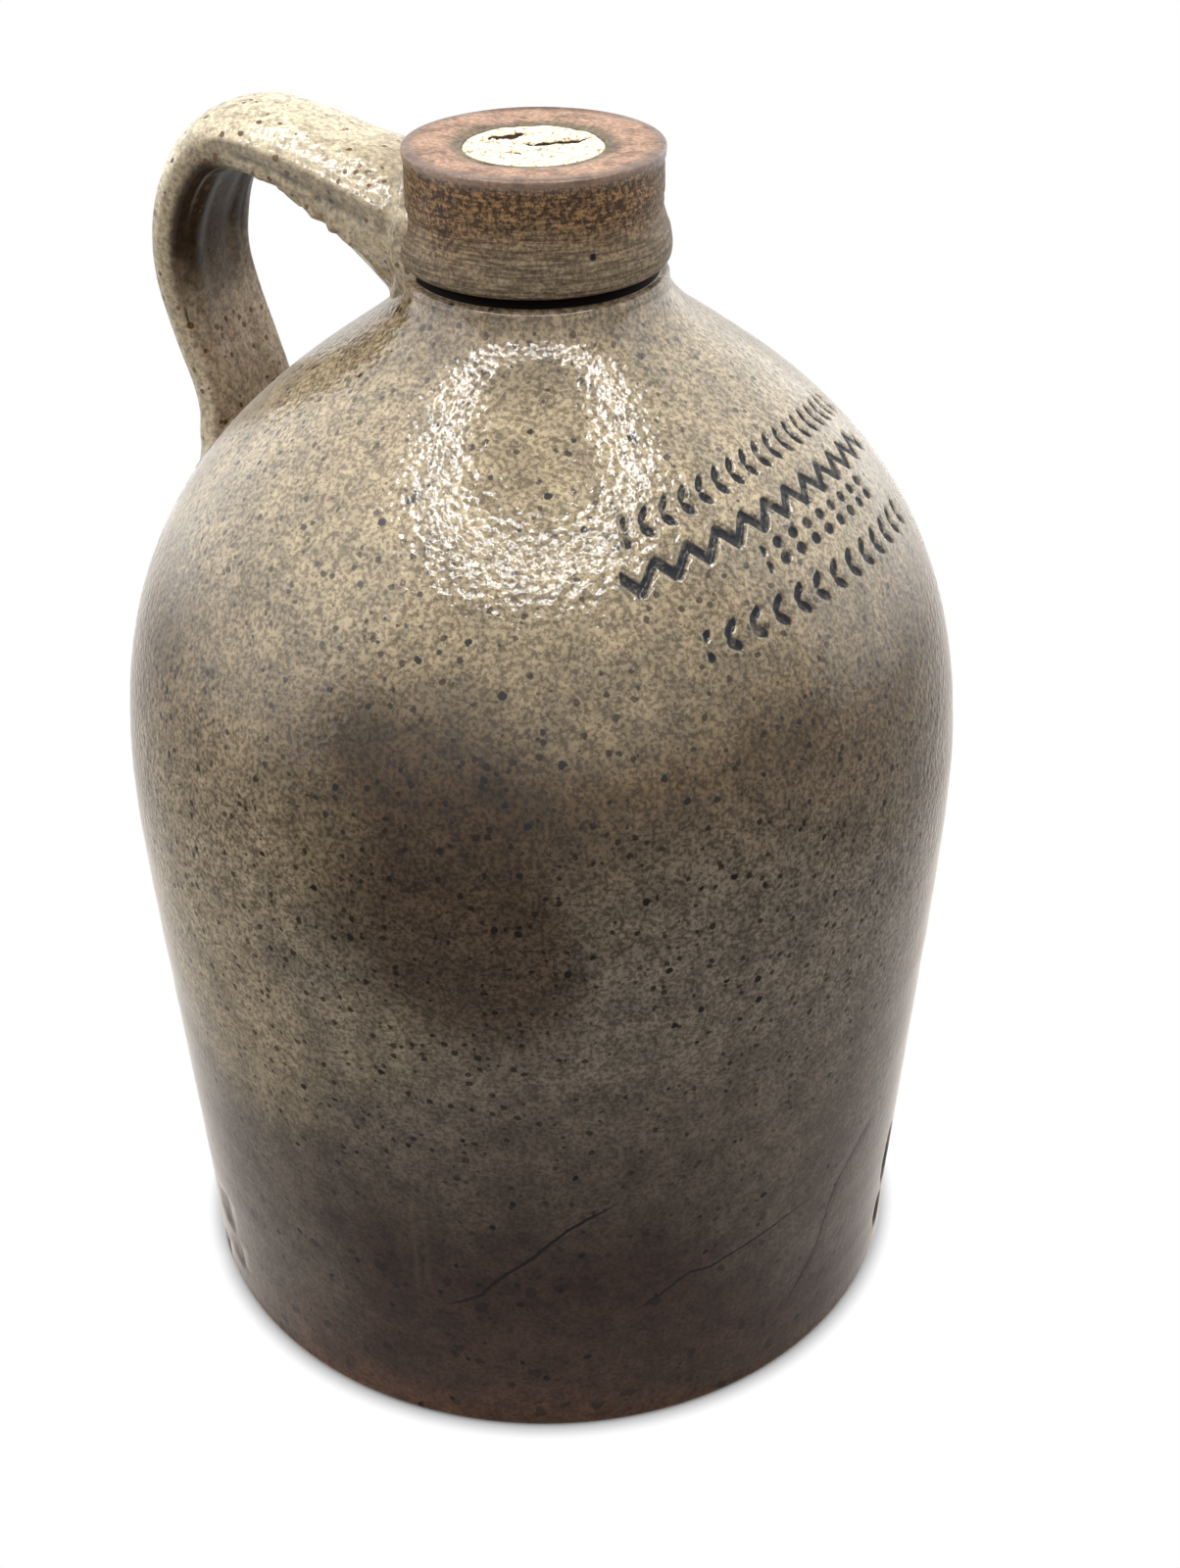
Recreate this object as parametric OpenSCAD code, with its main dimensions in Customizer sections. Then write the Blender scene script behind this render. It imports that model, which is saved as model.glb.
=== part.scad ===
// Salt glazed stoneware jug with a thick collar, a pulled strap handle and a cork.
// The jug stands on z = 0 with its axis on Z, and the handle points along -X.

/* [Body] */
// Height of the thrown body, from the foot to the ledge under the collar
body_h = 240; // [225:1:260]
// Diameter of the foot
foot_d = 168.4; // [150:0.2:176]
// Radius of the worn edge of the foot
foot_edge_r = 2.2; // [1:0.1:4]
// How far the wall leans out just above the foot
foot_lean = 1.2; // [0:0.1:4]
// Largest diameter of the body
belly_d = 182.5; // [178:0.5:200]
// Height of the largest diameter
belly_z = 130.5; // [110:0.5:150]
// Diameter where the shoulder runs into the neck
neck_base_d = 71.2; // [66:0.2:80]
// Drop from the ledge to where the shoulder runs into the neck
neck_rise = 11.8; // [9:0.2:14]
// Slope of the shoulder where it meets the neck, in degrees
shoulder_slope = 34.4; // [30:0.2:40]
// Thickness of the thrown wall
wall = 7.5; // [5:0.1:10]
// Thickness of the floor
floor_t = 10; // [7:0.1:14]
// Radius of the inside corner between floor and wall
floor_corner_r = 12; // [6:0.5:20]

/* [Neck] */
// Diameter of the ledge that shows below the collar
ledge_d = 53.6; // [52:0.1:58]
// Radius of the rounded edge of the ledge
ledge_edge_r = 1; // [0.6:0.1:1.3]
// Depth of the groove between ledge and collar, from the edge of the ledge
groove_depth = 2; // [1.4:0.1:2.8]
// Height of the groove
groove_h = 2.2; // [1:0.1:3.2]
// Outside diameter of the neck tube that the collar is luted over
spigot_d = 35; // [33:0.2:39]
// How far the neck tube reaches up into the collar
spigot_h = 8; // [5:0.5:12]

/* [Collar] */
// Height of the collar, from its seat to the top of the rim
collar_h = 22.8; // [19:0.1:27]
// Diameter of the swelling at the bottom of the collar
collar_swell_d = 54.8; // [53:0.1:58]
// Height of the swelling above the seat
swell_h = 3; // [2:0.1:6]
// Diameter of the waist of the collar
collar_waist_d = 51.4; // [48:0.1:51.6]
// Height of the waist above the seat
waist_h = 12; // [9:0.5:14]
// Diameter of the rim
rim_d = 51.9; // [51.8:0.1:54]
// Height of the rolled bead of the rim
rim_bead_h = 2.8; // [2:0.1:4.5]
// Width of the rounding on the outer edge of the rim
rim_round_w = 1.6; // [0.8:0.1:3]
// Diameter of the shallow hollow round the mouth
mouth_hollow_d = 33; // [31:0.2:38]
// Depth of that hollow
mouth_hollow_depth = 0.8; // [0.4:0.1:1.4]

/* [Mouth and cork] */
// Diameter of the bore at its mouth
mouth_d = 28; // [24:0.1:30]
// Amount by which the bore is narrower at its inner end
bore_narrowing = 2.2; // [0:0.1:4]
// Length of the bore, from the rim to its inner end
bore_len = 31; // [28:0.5:33]
// Length of the cork
cork_len = 27.5; // [20:0.5:28]
// How far the top of the cork lies below the rim
cork_sink = 0.5; // [0.2:0.1:3]
// Gap all round the cork
cork_gap = 0.08; // [0.04:0.01:0.1]
// Chamfer on both ends of the cork
cork_chamfer = 0.7; // [0.3:0.1:1.5]

/* [Handle] */
// Distance from the axis to the outermost guide point of the strap
handle_reach = 87.5; // [80:0.5:105]
// Height of the crest of the strap above the seat of the collar
handle_crest = 19.1; // [12:0.1:26]
// Height of the upper root of the strap above the seat of the collar
upper_root_h = 4; // [2:0.1:10]
// Height of the lower root of the strap on the shoulder
lower_root_z = 194; // [184:0.5:204]
// Width of the strap at its middle
strap_w = 27.4; // [20:0.2:34]
// Height of the domed outer side of the strap
strap_dome = 6.6; // [4:0.1:9]
// Thickness of the flatter inner side near the upper root
strap_inner_top = 9; // [4:0.1:12]
// Thickness of the flatter inner side near the lower root
strap_inner_end = 2; // [1.5:0.1:5]
// Extra thickness of the inner side where it meets the collar
root_web = 10.5; // [6:0.5:18]
// Extra width of the strap where it meets the collar
root_spread = 6; // [0:0.5:12]
// How far out from the collar the web and the extra width reach
root_reach = 32; // [16:0.5:40]
// Extra width of the strap where it meets the shoulder
tail_spread = 5; // [0:0.5:10]
// How far up from the lower root that extra width reaches
tail_reach = 18; // [10:0.5:30]

/* [Hidden] */

$fn = 96;

// Levels and radii that several pieces share
seat_z = body_h + groove_h;
rim_z = seat_z + collar_h;
foot_r = foot_d / 2;
belly_r = belly_d / 2;
neck_base_r = neck_base_d / 2;
neck_base_z = body_h - neck_rise;
ledge_r = ledge_d / 2;
groove_r = ledge_r - groove_depth;
spigot_r = spigot_d / 2;
waist_r = collar_waist_d / 2;
swell_r = collar_swell_d / 2;
rim_r = rim_d / 2;
mouth_r = mouth_d / 2;
bore_top_z = rim_z - mouth_hollow_depth;
bore_end_z = rim_z - bore_len;
bore_end_r = mouth_r - bore_narrowing / 2;

// How finely the curves are divided
wall_steps = 12;
shoulder_steps = 20;
neck_steps = 6;
corner_steps = 6;
collar_steps = 8;
strap_rings = 44;
strap_sides = 26;

// Pull of each curve at its ends, as shares of the height or run that it covers
lower_pull_shares = [0.33, 0.18];
shoulder_pull_shares = [0.55, 0.53];
neck_pull_shares = [0.6, 0.36];
swell_pull_shares = [0.8, 0.4];
waist_pull_shares = [0.45, 0.45];
// Depth of the widest part of the bead below the rim, as a share of the bead
bead_mid_share = 0.5;

// Guide points of the strap between its roots: how far out they stand between the
// collar and the reach, and how high between the lower root and the crest
strap_out_shares = [0.04, 0.5, 0.78, 1];
strap_up_shares = [0.86, 0.96, 1, 0.57];
// The strap starts inside the collar, at this share of the collar's waist
root_embed_share = 0.3;
// Height of the last guide points, as shares of the drop from crest to lower root
tail_up_shares = [0.14, 0, -0.18];
// Share of the strap's length that parts its upper half from its lower half
middle_share = 0.5;
// Roundness of the two sides of the strap: 2 is an ellipse, and more is squarer.
// The inner side is rounder at the upper root, where the web of clay meets it.
dome_power = 2.3;
inner_power = 4;
root_inner_power = 2.5;

function bezier(p, t) =
    pow(1 - t, 3) * p[0] + 3 * t * pow(1 - t, 2) * p[1]
    + 3 * t * t * (1 - t) * p[2] + pow(t, 3) * p[3];

function bezier_slope(p, t) =
    3 * pow(1 - t, 2) * (p[1] - p[0]) + 6 * t * (1 - t) * (p[2] - p[1])
    + 3 * t * t * (p[3] - p[2]);

// A point of a curve, moved by a distance to its right hand side
function beside(p, t, distance) =
    let (s = bezier_slope(p, t))
    bezier(p, t) + distance * [s[1], -s[0]] / norm(s);

// The points of a curve. Where another line ends at its start, first is 1.
function curve(p, steps, distance = 0, first = 0) =
    [for (i = [first : steps]) beside(p, i / steps, distance)];

function arc(centre, r, from, to, steps, first = 0) =
    [for (i = [first : steps])
        let (a = from + (to - from) * i / steps)
        centre + r * [cos(a), sin(a)]];

// Outline of the thrown wall, as radius and height
lower_wall = [
    [foot_r, foot_edge_r],
    [foot_r + foot_lean, lower_pull_shares[0] * belly_z],
    [belly_r, (1 - lower_pull_shares[1]) * belly_z],
    [belly_r, belly_z]
];
shoulder_rise = neck_base_z - belly_z;
shoulder_run = belly_r - neck_base_r;
shoulder_way = [cos(shoulder_slope), -sin(shoulder_slope)];
shoulder = [
    lower_wall[3],
    [belly_r, belly_z + shoulder_pull_shares[0] * shoulder_rise],
    [neck_base_r, neck_base_z]
        + shoulder_pull_shares[1] * (shoulder_run + shoulder_rise) / 2 * shoulder_way,
    [neck_base_r, neck_base_z]
];
neck = [
    shoulder[3],
    shoulder[3] - neck_pull_shares[0] * (neck_base_r - ledge_r) * shoulder_way,
    [ledge_r, body_h - neck_pull_shares[1] * neck_rise],
    [ledge_r, body_h - ledge_edge_r]
];
body_outline = concat(
    arc([foot_r - foot_edge_r, foot_edge_r], foot_edge_r, -90, 0, corner_steps),
    curve(lower_wall, wall_steps, first = 1),
    curve(shoulder, shoulder_steps, first = 1),
    curve(neck, neck_steps, first = 1),
    arc([ledge_r - ledge_edge_r, body_h - ledge_edge_r], ledge_edge_r, 0, 90,
        corner_steps, first = 1)
);

// Inside of the wall, at the wall's thickness from the outside
inner_curve = concat(
    curve(lower_wall, wall_steps, -wall),
    curve(shoulder, shoulder_steps, -wall, first = 1)
);
inner_wall = [
    for (p = inner_curve)
        if (p[1] > floor_t + floor_corner_r && p[1] < bore_end_z && p[0] > mouth_r) p
];
inner_corner_r = inner_wall[0][0] - floor_corner_r;
inner_outline = concat(
    [[0, floor_t]],
    arc([inner_corner_r, floor_t + floor_corner_r], floor_corner_r, -90, 0,
        corner_steps),
    inner_wall
);

// Radius of the bore at a height
function bore_r(z) =
    bore_end_r + (mouth_r - bore_end_r) * (z - bore_end_z) / (bore_top_z - bore_end_z);

// Radius of the shoulder's outside at a height
function shoulder_r(z) =
    lookup(z, [for (p = curve(shoulder, shoulder_steps)) [p[1], p[0]]]);

// Outline of the collar's outside, as radius and height
bead_start_z = rim_z - rim_bead_h;
collar_underside = [
    [groove_r, seat_z],
    [groove_r + swell_pull_shares[0] * (swell_r - groove_r), seat_z],
    [swell_r, seat_z + swell_pull_shares[1] * swell_h],
    [swell_r, seat_z + swell_h]
];
collar_waist = [
    collar_underside[3],
    [swell_r, seat_z + swell_h + waist_pull_shares[0] * (waist_h - swell_h)],
    [waist_r, seat_z + waist_h - waist_pull_shares[1] * (waist_h - swell_h)],
    [waist_r, seat_z + waist_h]
];
bead_mid = [rim_r, rim_z - bead_mid_share * rim_bead_h];
bead_under = [
    [waist_r, bead_start_z],
    [rim_r, bead_start_z],
    bead_mid,
    bead_mid
];
bead_over = [
    bead_mid,
    [rim_r, rim_z],
    [rim_r, rim_z],
    [rim_r - rim_round_w, rim_z]
];
collar_flank = concat(
    curve(collar_waist, collar_steps, first = 1),
    [for (i = [0 : collar_steps]) bezier(bead_under, i / collar_steps)],
    [for (i = [1 : collar_steps]) bezier(bead_over, i / collar_steps)]
);
collar_outline = concat(curve(collar_underside, collar_steps), collar_flank);

// Route of the strap's widest line, as distance from the axis and height
crest_z = seat_z + handle_crest;
lower_root_r = shoulder_r(lower_root_z);
function strap_z(share) = lower_root_z + share * (crest_z - lower_root_z);
strap_guides = concat(
    [[root_embed_share * waist_r, seat_z + upper_root_h]],
    [for (i = [0 : len(strap_out_shares) - 1])
        [waist_r + strap_out_shares[i] * (handle_reach - waist_r),
            strap_z(strap_up_shares[i])]],
    [for (share = tail_up_shares) [lower_root_r, strap_z(share)]]
);
strap_last = len(strap_guides) - 1;

// A guide point, with one more at each end that carries the end straight on
function guide(i) =
    i < 0 ? 2 * strap_guides[0] - strap_guides[1]
    : i > strap_last ? 2 * strap_guides[strap_last] - strap_guides[strap_last - 1]
    : strap_guides[i];

// Uniform cubic spline through the guides, and its direction
function strap_point(s) =
    let (
        x = s * strap_last,
        i = min(floor(x), strap_last - 1),
        t = x - i
    )
    (pow(1 - t, 3) * guide(i - 1) + (3 * pow(t, 3) - 6 * t * t + 4) * guide(i)
        + (-3 * pow(t, 3) + 3 * t * t + 3 * t + 1) * guide(i + 1)
        + pow(t, 3) * guide(i + 2)) / 6;
function strap_way(s) =
    let (
        x = s * strap_last,
        i = min(floor(x), strap_last - 1),
        t = x - i,
        d = (-pow(1 - t, 2) * guide(i - 1) + (3 * t * t - 4 * t) * guide(i)
            + (-3 * t * t + 2 * t + 1) * guide(i + 1) + t * t * guide(i + 2)) / 2
    )
    d / norm(d);

// How strongly a root spreads at a distance from what it is luted to, from 1 to 0
function fade(distance, reach) = pow(max(0, 1 - max(0, distance) / reach), 2);

function signed_power(v, power) = sign(v) * pow(abs(v), 2 / power);

// One ring of the strap: a dome outside, and a flatter inner side
function strap_ring(s) =
    let (
        c = strap_point(s),
        d = strap_way(s),
        out = [-d[1], d[0]],
        root = s < middle_share ? fade(c[0] - waist_r, root_reach) : 0,
        tail = s < middle_share ? 0 : fade(c[1] - lower_root_z, tail_reach),
        half_w = (strap_w + root_spread * root + tail_spread * tail) / 2,
        inner = strap_inner_top + (strap_inner_end - strap_inner_top) * s
            + root_web * root
    )
    [for (k = [0 : strap_sides - 1])
        let (
            a = 360 * k / strap_sides,
            domed = cos(a) >= 0,
            power = domed ? dome_power
                : inner_power + (root_inner_power - inner_power) * root,
            lift = signed_power(cos(a), power) * (domed ? strap_dome : inner),
            across = signed_power(sin(a), power) * half_w,
            p = c + lift * out
        )
        [-p[0], across, p[1]]];

module jug_body() {
    color("#8d8672")
        rotate_extrude()
            polygon(concat(
                [[0, 0]],
                body_outline,
                [[groove_r, body_h], [groove_r, seat_z]],
                [[spigot_r, seat_z], [spigot_r, seat_z + spigot_h]],
                [[bore_r(seat_z + spigot_h), seat_z + spigot_h]],
                [[bore_end_r, bore_end_z]],
                [for (i = [len(inner_outline) - 1 : -1 : 0]) inner_outline[i]]
            ));
}

module collar() {
    color("#7c6a58")
        rotate_extrude()
            polygon(concat(
                collar_outline,
                [[mouth_hollow_d / 2, rim_z], [mouth_r, bore_top_z]],
                [[bore_r(seat_z + spigot_h), seat_z + spigot_h]],
                [[spigot_r, seat_z + spigot_h], [spigot_r, seat_z]]
            ));
}

// Solid form of body and collar that the roots of the strap are shaped against.
// It closes the groove, because the strap passes over it.
module root_former() {
    rotate_extrude()
        polygon(concat(
            [[0, 0]],
            body_outline,
            [[ledge_r, seat_z]],
            [for (p = curve(collar_underside, collar_steps)) if (p[0] > ledge_r) p],
            collar_flank,
            [[0, rim_z]]
        ));
}

module strap_sweep() {
    rings = [for (i = [0 : strap_rings]) strap_ring(i / strap_rings)];
    first_c = strap_point(0);
    last_c = strap_point(1);
    start = len(rings) * strap_sides;
    points = concat(
        [for (ring = rings) each ring],
        [[-first_c[0], 0, first_c[1]], [-last_c[0], 0, last_c[1]]]
    );
    sides = [for (i = [0 : strap_rings - 1], k = [0 : strap_sides - 1])
        let (
            a = i * strap_sides + k,
            b = i * strap_sides + (k + 1) % strap_sides
        )
        each [[a, b + strap_sides, b], [a, a + strap_sides, b + strap_sides]]];
    ends = [for (k = [0 : strap_sides - 1])
        let (
            n = (k + 1) % strap_sides,
            last = strap_rings * strap_sides
        )
        each [[start, k, n], [start + 1, last + n, last + k]]];
    polyhedron(points = points, faces = concat(sides, ends), convexity = 6);
}

module strap_handle() {
    color("#a39a7e")
        difference() {
            strap_sweep();
            root_former();
        }
}

module cork_stopper() {
    top_z = rim_z - cork_sink;
    end_z = top_z - cork_len;
    color("#dcc79a")
        rotate_extrude()
            polygon([
                [0, end_z],
                [bore_r(end_z) - cork_gap - cork_chamfer, end_z],
                [bore_r(end_z + cork_chamfer) - cork_gap, end_z + cork_chamfer],
                [bore_r(top_z - cork_chamfer) - cork_gap, top_z - cork_chamfer],
                [bore_r(top_z) - cork_gap - cork_chamfer, top_z],
                [0, top_z]
            ]);
}

jug_body();
collar();
strap_handle();
cork_stopper();
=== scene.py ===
"""Looks of a salt glazed stoneware jug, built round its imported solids.

The jug stands on z = 0 with its axis on Z, and its handle points along -X.
Lengths are metres in Blender. Places on the jug are given by azimuth in degrees,
counted from +X towards +Y, and by height in millimetres.
"""

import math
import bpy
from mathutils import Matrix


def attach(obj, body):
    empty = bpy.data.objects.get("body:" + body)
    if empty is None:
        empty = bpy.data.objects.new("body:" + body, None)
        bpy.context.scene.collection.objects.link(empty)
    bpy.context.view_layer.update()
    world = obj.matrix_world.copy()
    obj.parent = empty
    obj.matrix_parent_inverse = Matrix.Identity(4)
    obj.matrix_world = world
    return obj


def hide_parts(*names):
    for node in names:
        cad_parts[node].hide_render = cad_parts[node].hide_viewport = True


bl_info = {
    "name": "Stoneware jug",
    "version": (1, 0, 0),
    "blender": (4, 5, 0),
    "location": "3D View > Sidebar > Jug",
    "description": "Builds a salt glazed stoneware jug with its collar, strap and cork",
    "category": "Object",
}

import bpy
import numpy as np
from bpy.props import FloatProperty, FloatVectorProperty, PointerProperty
from bpy.types import Operator, Panel, PropertyGroup
from mathutils import Matrix, Vector

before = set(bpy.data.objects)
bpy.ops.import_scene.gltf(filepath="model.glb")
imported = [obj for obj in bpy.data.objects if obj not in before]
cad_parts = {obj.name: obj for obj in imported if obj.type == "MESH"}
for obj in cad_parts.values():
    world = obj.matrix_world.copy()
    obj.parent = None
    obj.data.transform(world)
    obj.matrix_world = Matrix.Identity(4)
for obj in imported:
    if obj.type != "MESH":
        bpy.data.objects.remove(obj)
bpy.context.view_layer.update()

MM = 0.001

# The studio is turned with the camera, by this angle about the jug's axis
STUDIO_TURN = math.radians(29.5)


# Settings

def length(name, about, millimetres):
    """A length setting, given in millimetres."""
    return FloatProperty(name=name, description=about, default=millimetres * MM,
                         unit="LENGTH", precision=5)


def colour(name, about, red, green, blue):
    """A colour setting, given as it looks on screen, from 0 to 255."""
    screen = np.array([red, green, blue]) / 255
    linear = np.where(screen <= 0.04045, screen / 12.92, ((screen + 0.055) / 1.055) ** 2.4)
    return FloatVectorProperty(name=name, description=about, subtype="COLOR", size=3,
                               min=0, max=1, default=tuple(float(v) for v in linear))


def amount(name, about, value, top=1.0):
    """A plain number setting."""
    return FloatProperty(name=name, description=about, default=value, min=0, max=top)


class JugBodySettings(PropertyGroup):
    height: length("Height", "From the foot to the ledge under the collar", 240)
    foot_radius: length("Foot radius", "Radius of the foot", 84.2)
    foot_edge: length("Foot edge", "Radius of the worn edge of the foot", 2.2)
    foot_lean: length("Foot lean", "How far the wall leans out above the foot", 1.2)
    belly_radius: length("Belly radius", "Largest radius of the body", 91.25)
    belly_height: length("Belly height", "Height of the largest radius", 130.5)
    neck_radius: length("Neck radius", "Where the shoulder runs into the neck", 35.6)
    neck_rise: length("Neck rise", "Drop from the ledge to that place", 11.8)
    ledge_radius: length("Ledge radius", "Radius of the ledge under the collar", 26.8)
    groove_depth: length("Groove depth", "Depth of the groove over the ledge", 2)
    groove_height: length("Groove height", "Height of that groove", 2.2)
    wall: length("Wall", "Thickness of the thrown wall", 7.5)
    floor: length("Floor", "Thickness of the floor", 10)
    ring_depth: length("Throwing rings", "Depth of the rings left by throwing", 0.16)
    mark_depth: length("Impressed marks", "Depth of the impressed ornament", 0.55)
    # Khaki and dusk also colour the patches of painted side light on the wall's sides
    khaki: colour("Khaki", "Glaze where most salt reached it", 134, 122, 99)
    olive: colour("Olive", "Specks in the glaze of the shoulder", 84, 58, 22)
    brown: colour("Brown", "Glaze on the middle of the wall", 76, 62, 44)
    dusk: colour("Dusk", "Thinner glaze below the middle", 85, 78, 70)
    # Umber also paints the shade on the strap's inner side, towards the top
    umber: colour("Umber", "Clouds where the glaze is thin", 44, 30, 17)
    mauve: colour("Mauve", "Bare clay above the foot", 43, 31, 26)
    plum: colour("Plum", "Bare clay near the foot", 55, 41, 34)
    russet: colour("Russet", "Bare clay at the foot", 74, 52, 40)
    charcoal: colour("Charcoal", "Stain in the impressed ornament", 36, 38, 42)
    # Iron also paints shade: in the groove under the collar, at the collar's foot and along the
    # strap's crease
    iron: colour("Iron", "Iron spots and cracks", 17, 13, 11)


class CollarSettings(PropertyGroup):
    height: length("Height", "From the seat to the top of the rim", 22.8)
    swell_radius: length("Swell radius", "Radius of the swelling at the bottom", 27.4)
    swell_height: length("Swell height", "Height of the swelling over the seat", 3)
    waist_radius: length("Waist radius", "Radius of the waist", 25.7)
    waist_height: length("Waist height", "Height of the waist over the seat", 12)
    rim_radius: length("Rim radius", "Radius of the rim", 25.95)
    bead_height: length("Bead height", "Height of the rolled bead", 2.8)
    rounding: length("Rounding", "Width of the rounding on the rim", 1.6)
    hollow_radius: length("Hollow radius", "Radius of the hollow round the mouth", 16.5)
    hollow_depth: length("Hollow depth", "Depth of that hollow", 0.8)
    mouth_radius: length("Mouth radius", "Radius of the bore at the mouth", 14)
    bore_narrowing: length("Narrowing", "How much the bore's radius shrinks", 1.1)
    bore_length: length("Bore length", "From the rim to the inner end", 31)
    spigot_radius: length("Neck tube", "Radius of the tube that the collar sits on", 17.5)
    spigot_height: length("Tube height", "How far the tube reaches into the collar", 8)
    stone: colour("Stone", "Glaze on the lower half of the collar", 126, 113, 93)
    toffee: colour("Toffee", "Glaze on the upper half of the collar", 134, 98, 60)
    rust: colour("Rust", "Worm shaped mottling of the collar", 34, 17, 6)
    toast: colour("Toast", "Toasted clay on top of the rim", 187, 151, 127)
    ash: colour("Ash", "Grey clay on the edge of the rim", 124, 94, 72)


class StrapSettings(PropertyGroup):
    reach: length("Reach", "From the axis to the outermost guide point", 87.5)
    crest: length("Crest", "Height of the crest over the collar's seat", 19.1)
    upper_root: length("Upper root", "Height of the upper root over the seat", 4)
    lower_root: length("Lower root", "Height of the lower root", 194)
    width: length("Width", "Width of the strap at its middle", 27.4)
    dome: length("Dome", "Height of the domed outer side", 6.6)
    inner_top: length("Inner top", "Inner thickness near the upper root", 9)
    inner_end: length("Inner end", "Inner thickness near the lower root", 2)
    web: length("Web", "Extra inner thickness at the collar", 10.5)
    spread: length("Spread", "Extra width at the collar", 6)
    spread_reach: length("Spread reach", "How far out web and spread reach", 32)
    tail: length("Tail", "Extra width at the lower root", 5)
    tail_reach: length("Tail reach", "How far up that extra width reaches", 18)
    fillet: length("Fillet", "Radius of the clay smoothed round the roots", 3.2)
    # Straw on the crest is partly pooled glaze and partly painted highlight and top light
    straw: colour("Straw", "Light glaze on the crest of the strap", 204, 191, 163)
    reed: colour("Reed", "Glaze on the strap's edges and tail", 147, 132, 104)
    bronze: colour("Bronze", "Mottling in the strap's glaze", 112, 92, 60)
    shade: colour("Shade", "Thin glaze on the strap's inner side", 154, 137, 115)


class CorkSettings(PropertyGroup):
    length: length("Length", "Length of the cork", 27.5)
    sink: length("Sink", "How far its top lies below the rim", 0.5)
    gap: length("Gap", "Gap all round the cork", 0.08)
    chamfer: length("Chamfer", "Chamfer on both ends", 0.7)
    cream: colour("Cream", "Cut face of the cork", 254, 250, 226)
    tan: colour("Tan", "Grain of the cork", 230, 206, 156)
    bark: colour("Bark", "Cracks and pores in the cork", 52, 36, 24)


class StudioSettings(PropertyGroup):
    ring: amount("Ring lamp", "Radiance of the ring lamp overhead", 25.0, 50)
    sides: amount("Side light", "Power of each side light in watts", 10.5, 100)
    fill: amount("Fill", "Strength of the white room as light", 0.41, 5)
    lens: FloatProperty(name="Lens", description="Focal length of the camera",
                        default=49.95, subtype="DISTANCE_CAMERA")


# Shapes as whole arrays

ARC_STEPS = 24


def bezier(points, share):
    """Cubic curve: each end point and pull point weighed by its Bernstein share."""
    p = np.asarray(points, float)
    t = np.asarray(share, float)[:, None]
    return ((1 - t) ** 3 * p[0] + 3 * t * (1 - t) ** 2 * p[1]
            + 3 * t * t * (1 - t) * p[2] + t ** 3 * p[3])


def arc(centre, radius, start, end):
    """Points on a circle, from a start to an end angle in degrees."""
    a = np.radians(np.linspace(start, end, ARC_STEPS))
    return np.asarray(centre) + radius * np.stack([np.cos(a), np.sin(a)], 1)


def join(*lines):
    """One line from several, without the points that two neighbours share."""
    line = np.vstack([np.atleast_2d(part) for part in lines])
    steps = np.linalg.norm(np.diff(line, axis=0), axis=1)
    return line[np.r_[True, steps > 1e-7]]


def spread(line, spacing):
    """A line's points again, with steps as long as spacing, a length or a function, asks.

    The density of points is one over the spacing, and its running sum along the
    line is cut into equal parts."""
    mids = (line[1:] + line[:-1]) / 2
    steps = np.linalg.norm(np.diff(line, axis=0), axis=1)
    wanted_step = spacing(mids) if callable(spacing) else spacing
    run = np.r_[0, np.cumsum(steps / wanted_step)]
    wanted = np.linspace(0, run[-1], int(math.ceil(run[-1])) + 1)
    return np.stack([np.interp(wanted, run, line[:, i]) for i in range(2)], 1)


def smooth_step(value, low, high):
    """0 on the side of low, 1 on the side of high, and a smooth cubic between."""
    t = np.clip((value - low) / (high - low), 0, 1)
    return t * t * (3 - 2 * t)


def hump(value, middle, half):
    """A bell round a middle: e to the minus square of the distance over half."""
    return np.exp(-((value - middle) / half) ** 2)


def lumps(seed, x, y, across, up):
    """Smooth noise from -1 to 1 over x and y from 0 to 1, wrapped along x.

    Random heights stand on a lattice, and smooth steps join them."""
    table = np.random.default_rng(seed).uniform(-1, 1, (across, up + 2))
    gx, gy = (x % 1) * across, np.clip(y, 0, 1) * up
    ix, iy = gx.astype(int) % across, gy.astype(int)
    fx, fy = smooth_step(gx - np.floor(gx), 0, 1), smooth_step(gy - iy, 0, 1)
    jx = (ix + 1) % across
    low = table[ix, iy] * (1 - fx) + table[jx, iy] * fx
    high = table[ix, iy + 1] * (1 - fx) + table[jx, iy + 1] * fx
    return low * (1 - fy) + high * fy


def line_side(x, y, points, reach):
    """Signed distance to a crooked line, and how far along it the nearest point lies.

    The distance is positive on the left of the line. Beyond reach it stays at reach."""
    best = np.full(x.shape, reach)
    side = np.full(x.shape, reach)
    along = np.full(x.shape, -1.0)
    pieces = len(points) - 1
    for i in range(pieces):
        (ax, ay), (bx, by) = points[i], points[i + 1]
        dx, dy = bx - ax, by - ay
        long = math.hypot(dx, dy)
        t = np.clip(((x - ax) * dx + (y - ay) * dy) / long ** 2, 0, 1)
        gap = np.hypot(x - ax - t * dx, y - ay - t * dy)
        near = gap < best
        left = np.sign(dx * (y - ay) - dy * (x - ax))
        best = np.where(near, gap, best)
        side = np.where(near, gap * left, side)
        along = np.where(near, (i + t) / pieces, along)
    return side, along


def mesh_piece(name, points, faces, attributes=()):
    """A smooth shaded object from arrays of points and of faces, with its attributes."""
    mesh = bpy.data.meshes.new(name)
    mesh.from_pydata(points.tolist(), [], faces)
    mesh.polygons.foreach_set("use_smooth", np.ones(len(mesh.polygons), bool))
    for label, values in attributes:
        layer = mesh.attributes.new(label, "FLOAT", "POINT")
        layer.data.foreach_set("value", np.asarray(values, np.float32).ravel())
    mesh.update()
    piece = bpy.data.objects.new(name, mesh)
    bpy.context.scene.collection.objects.link(piece)
    return piece


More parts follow.
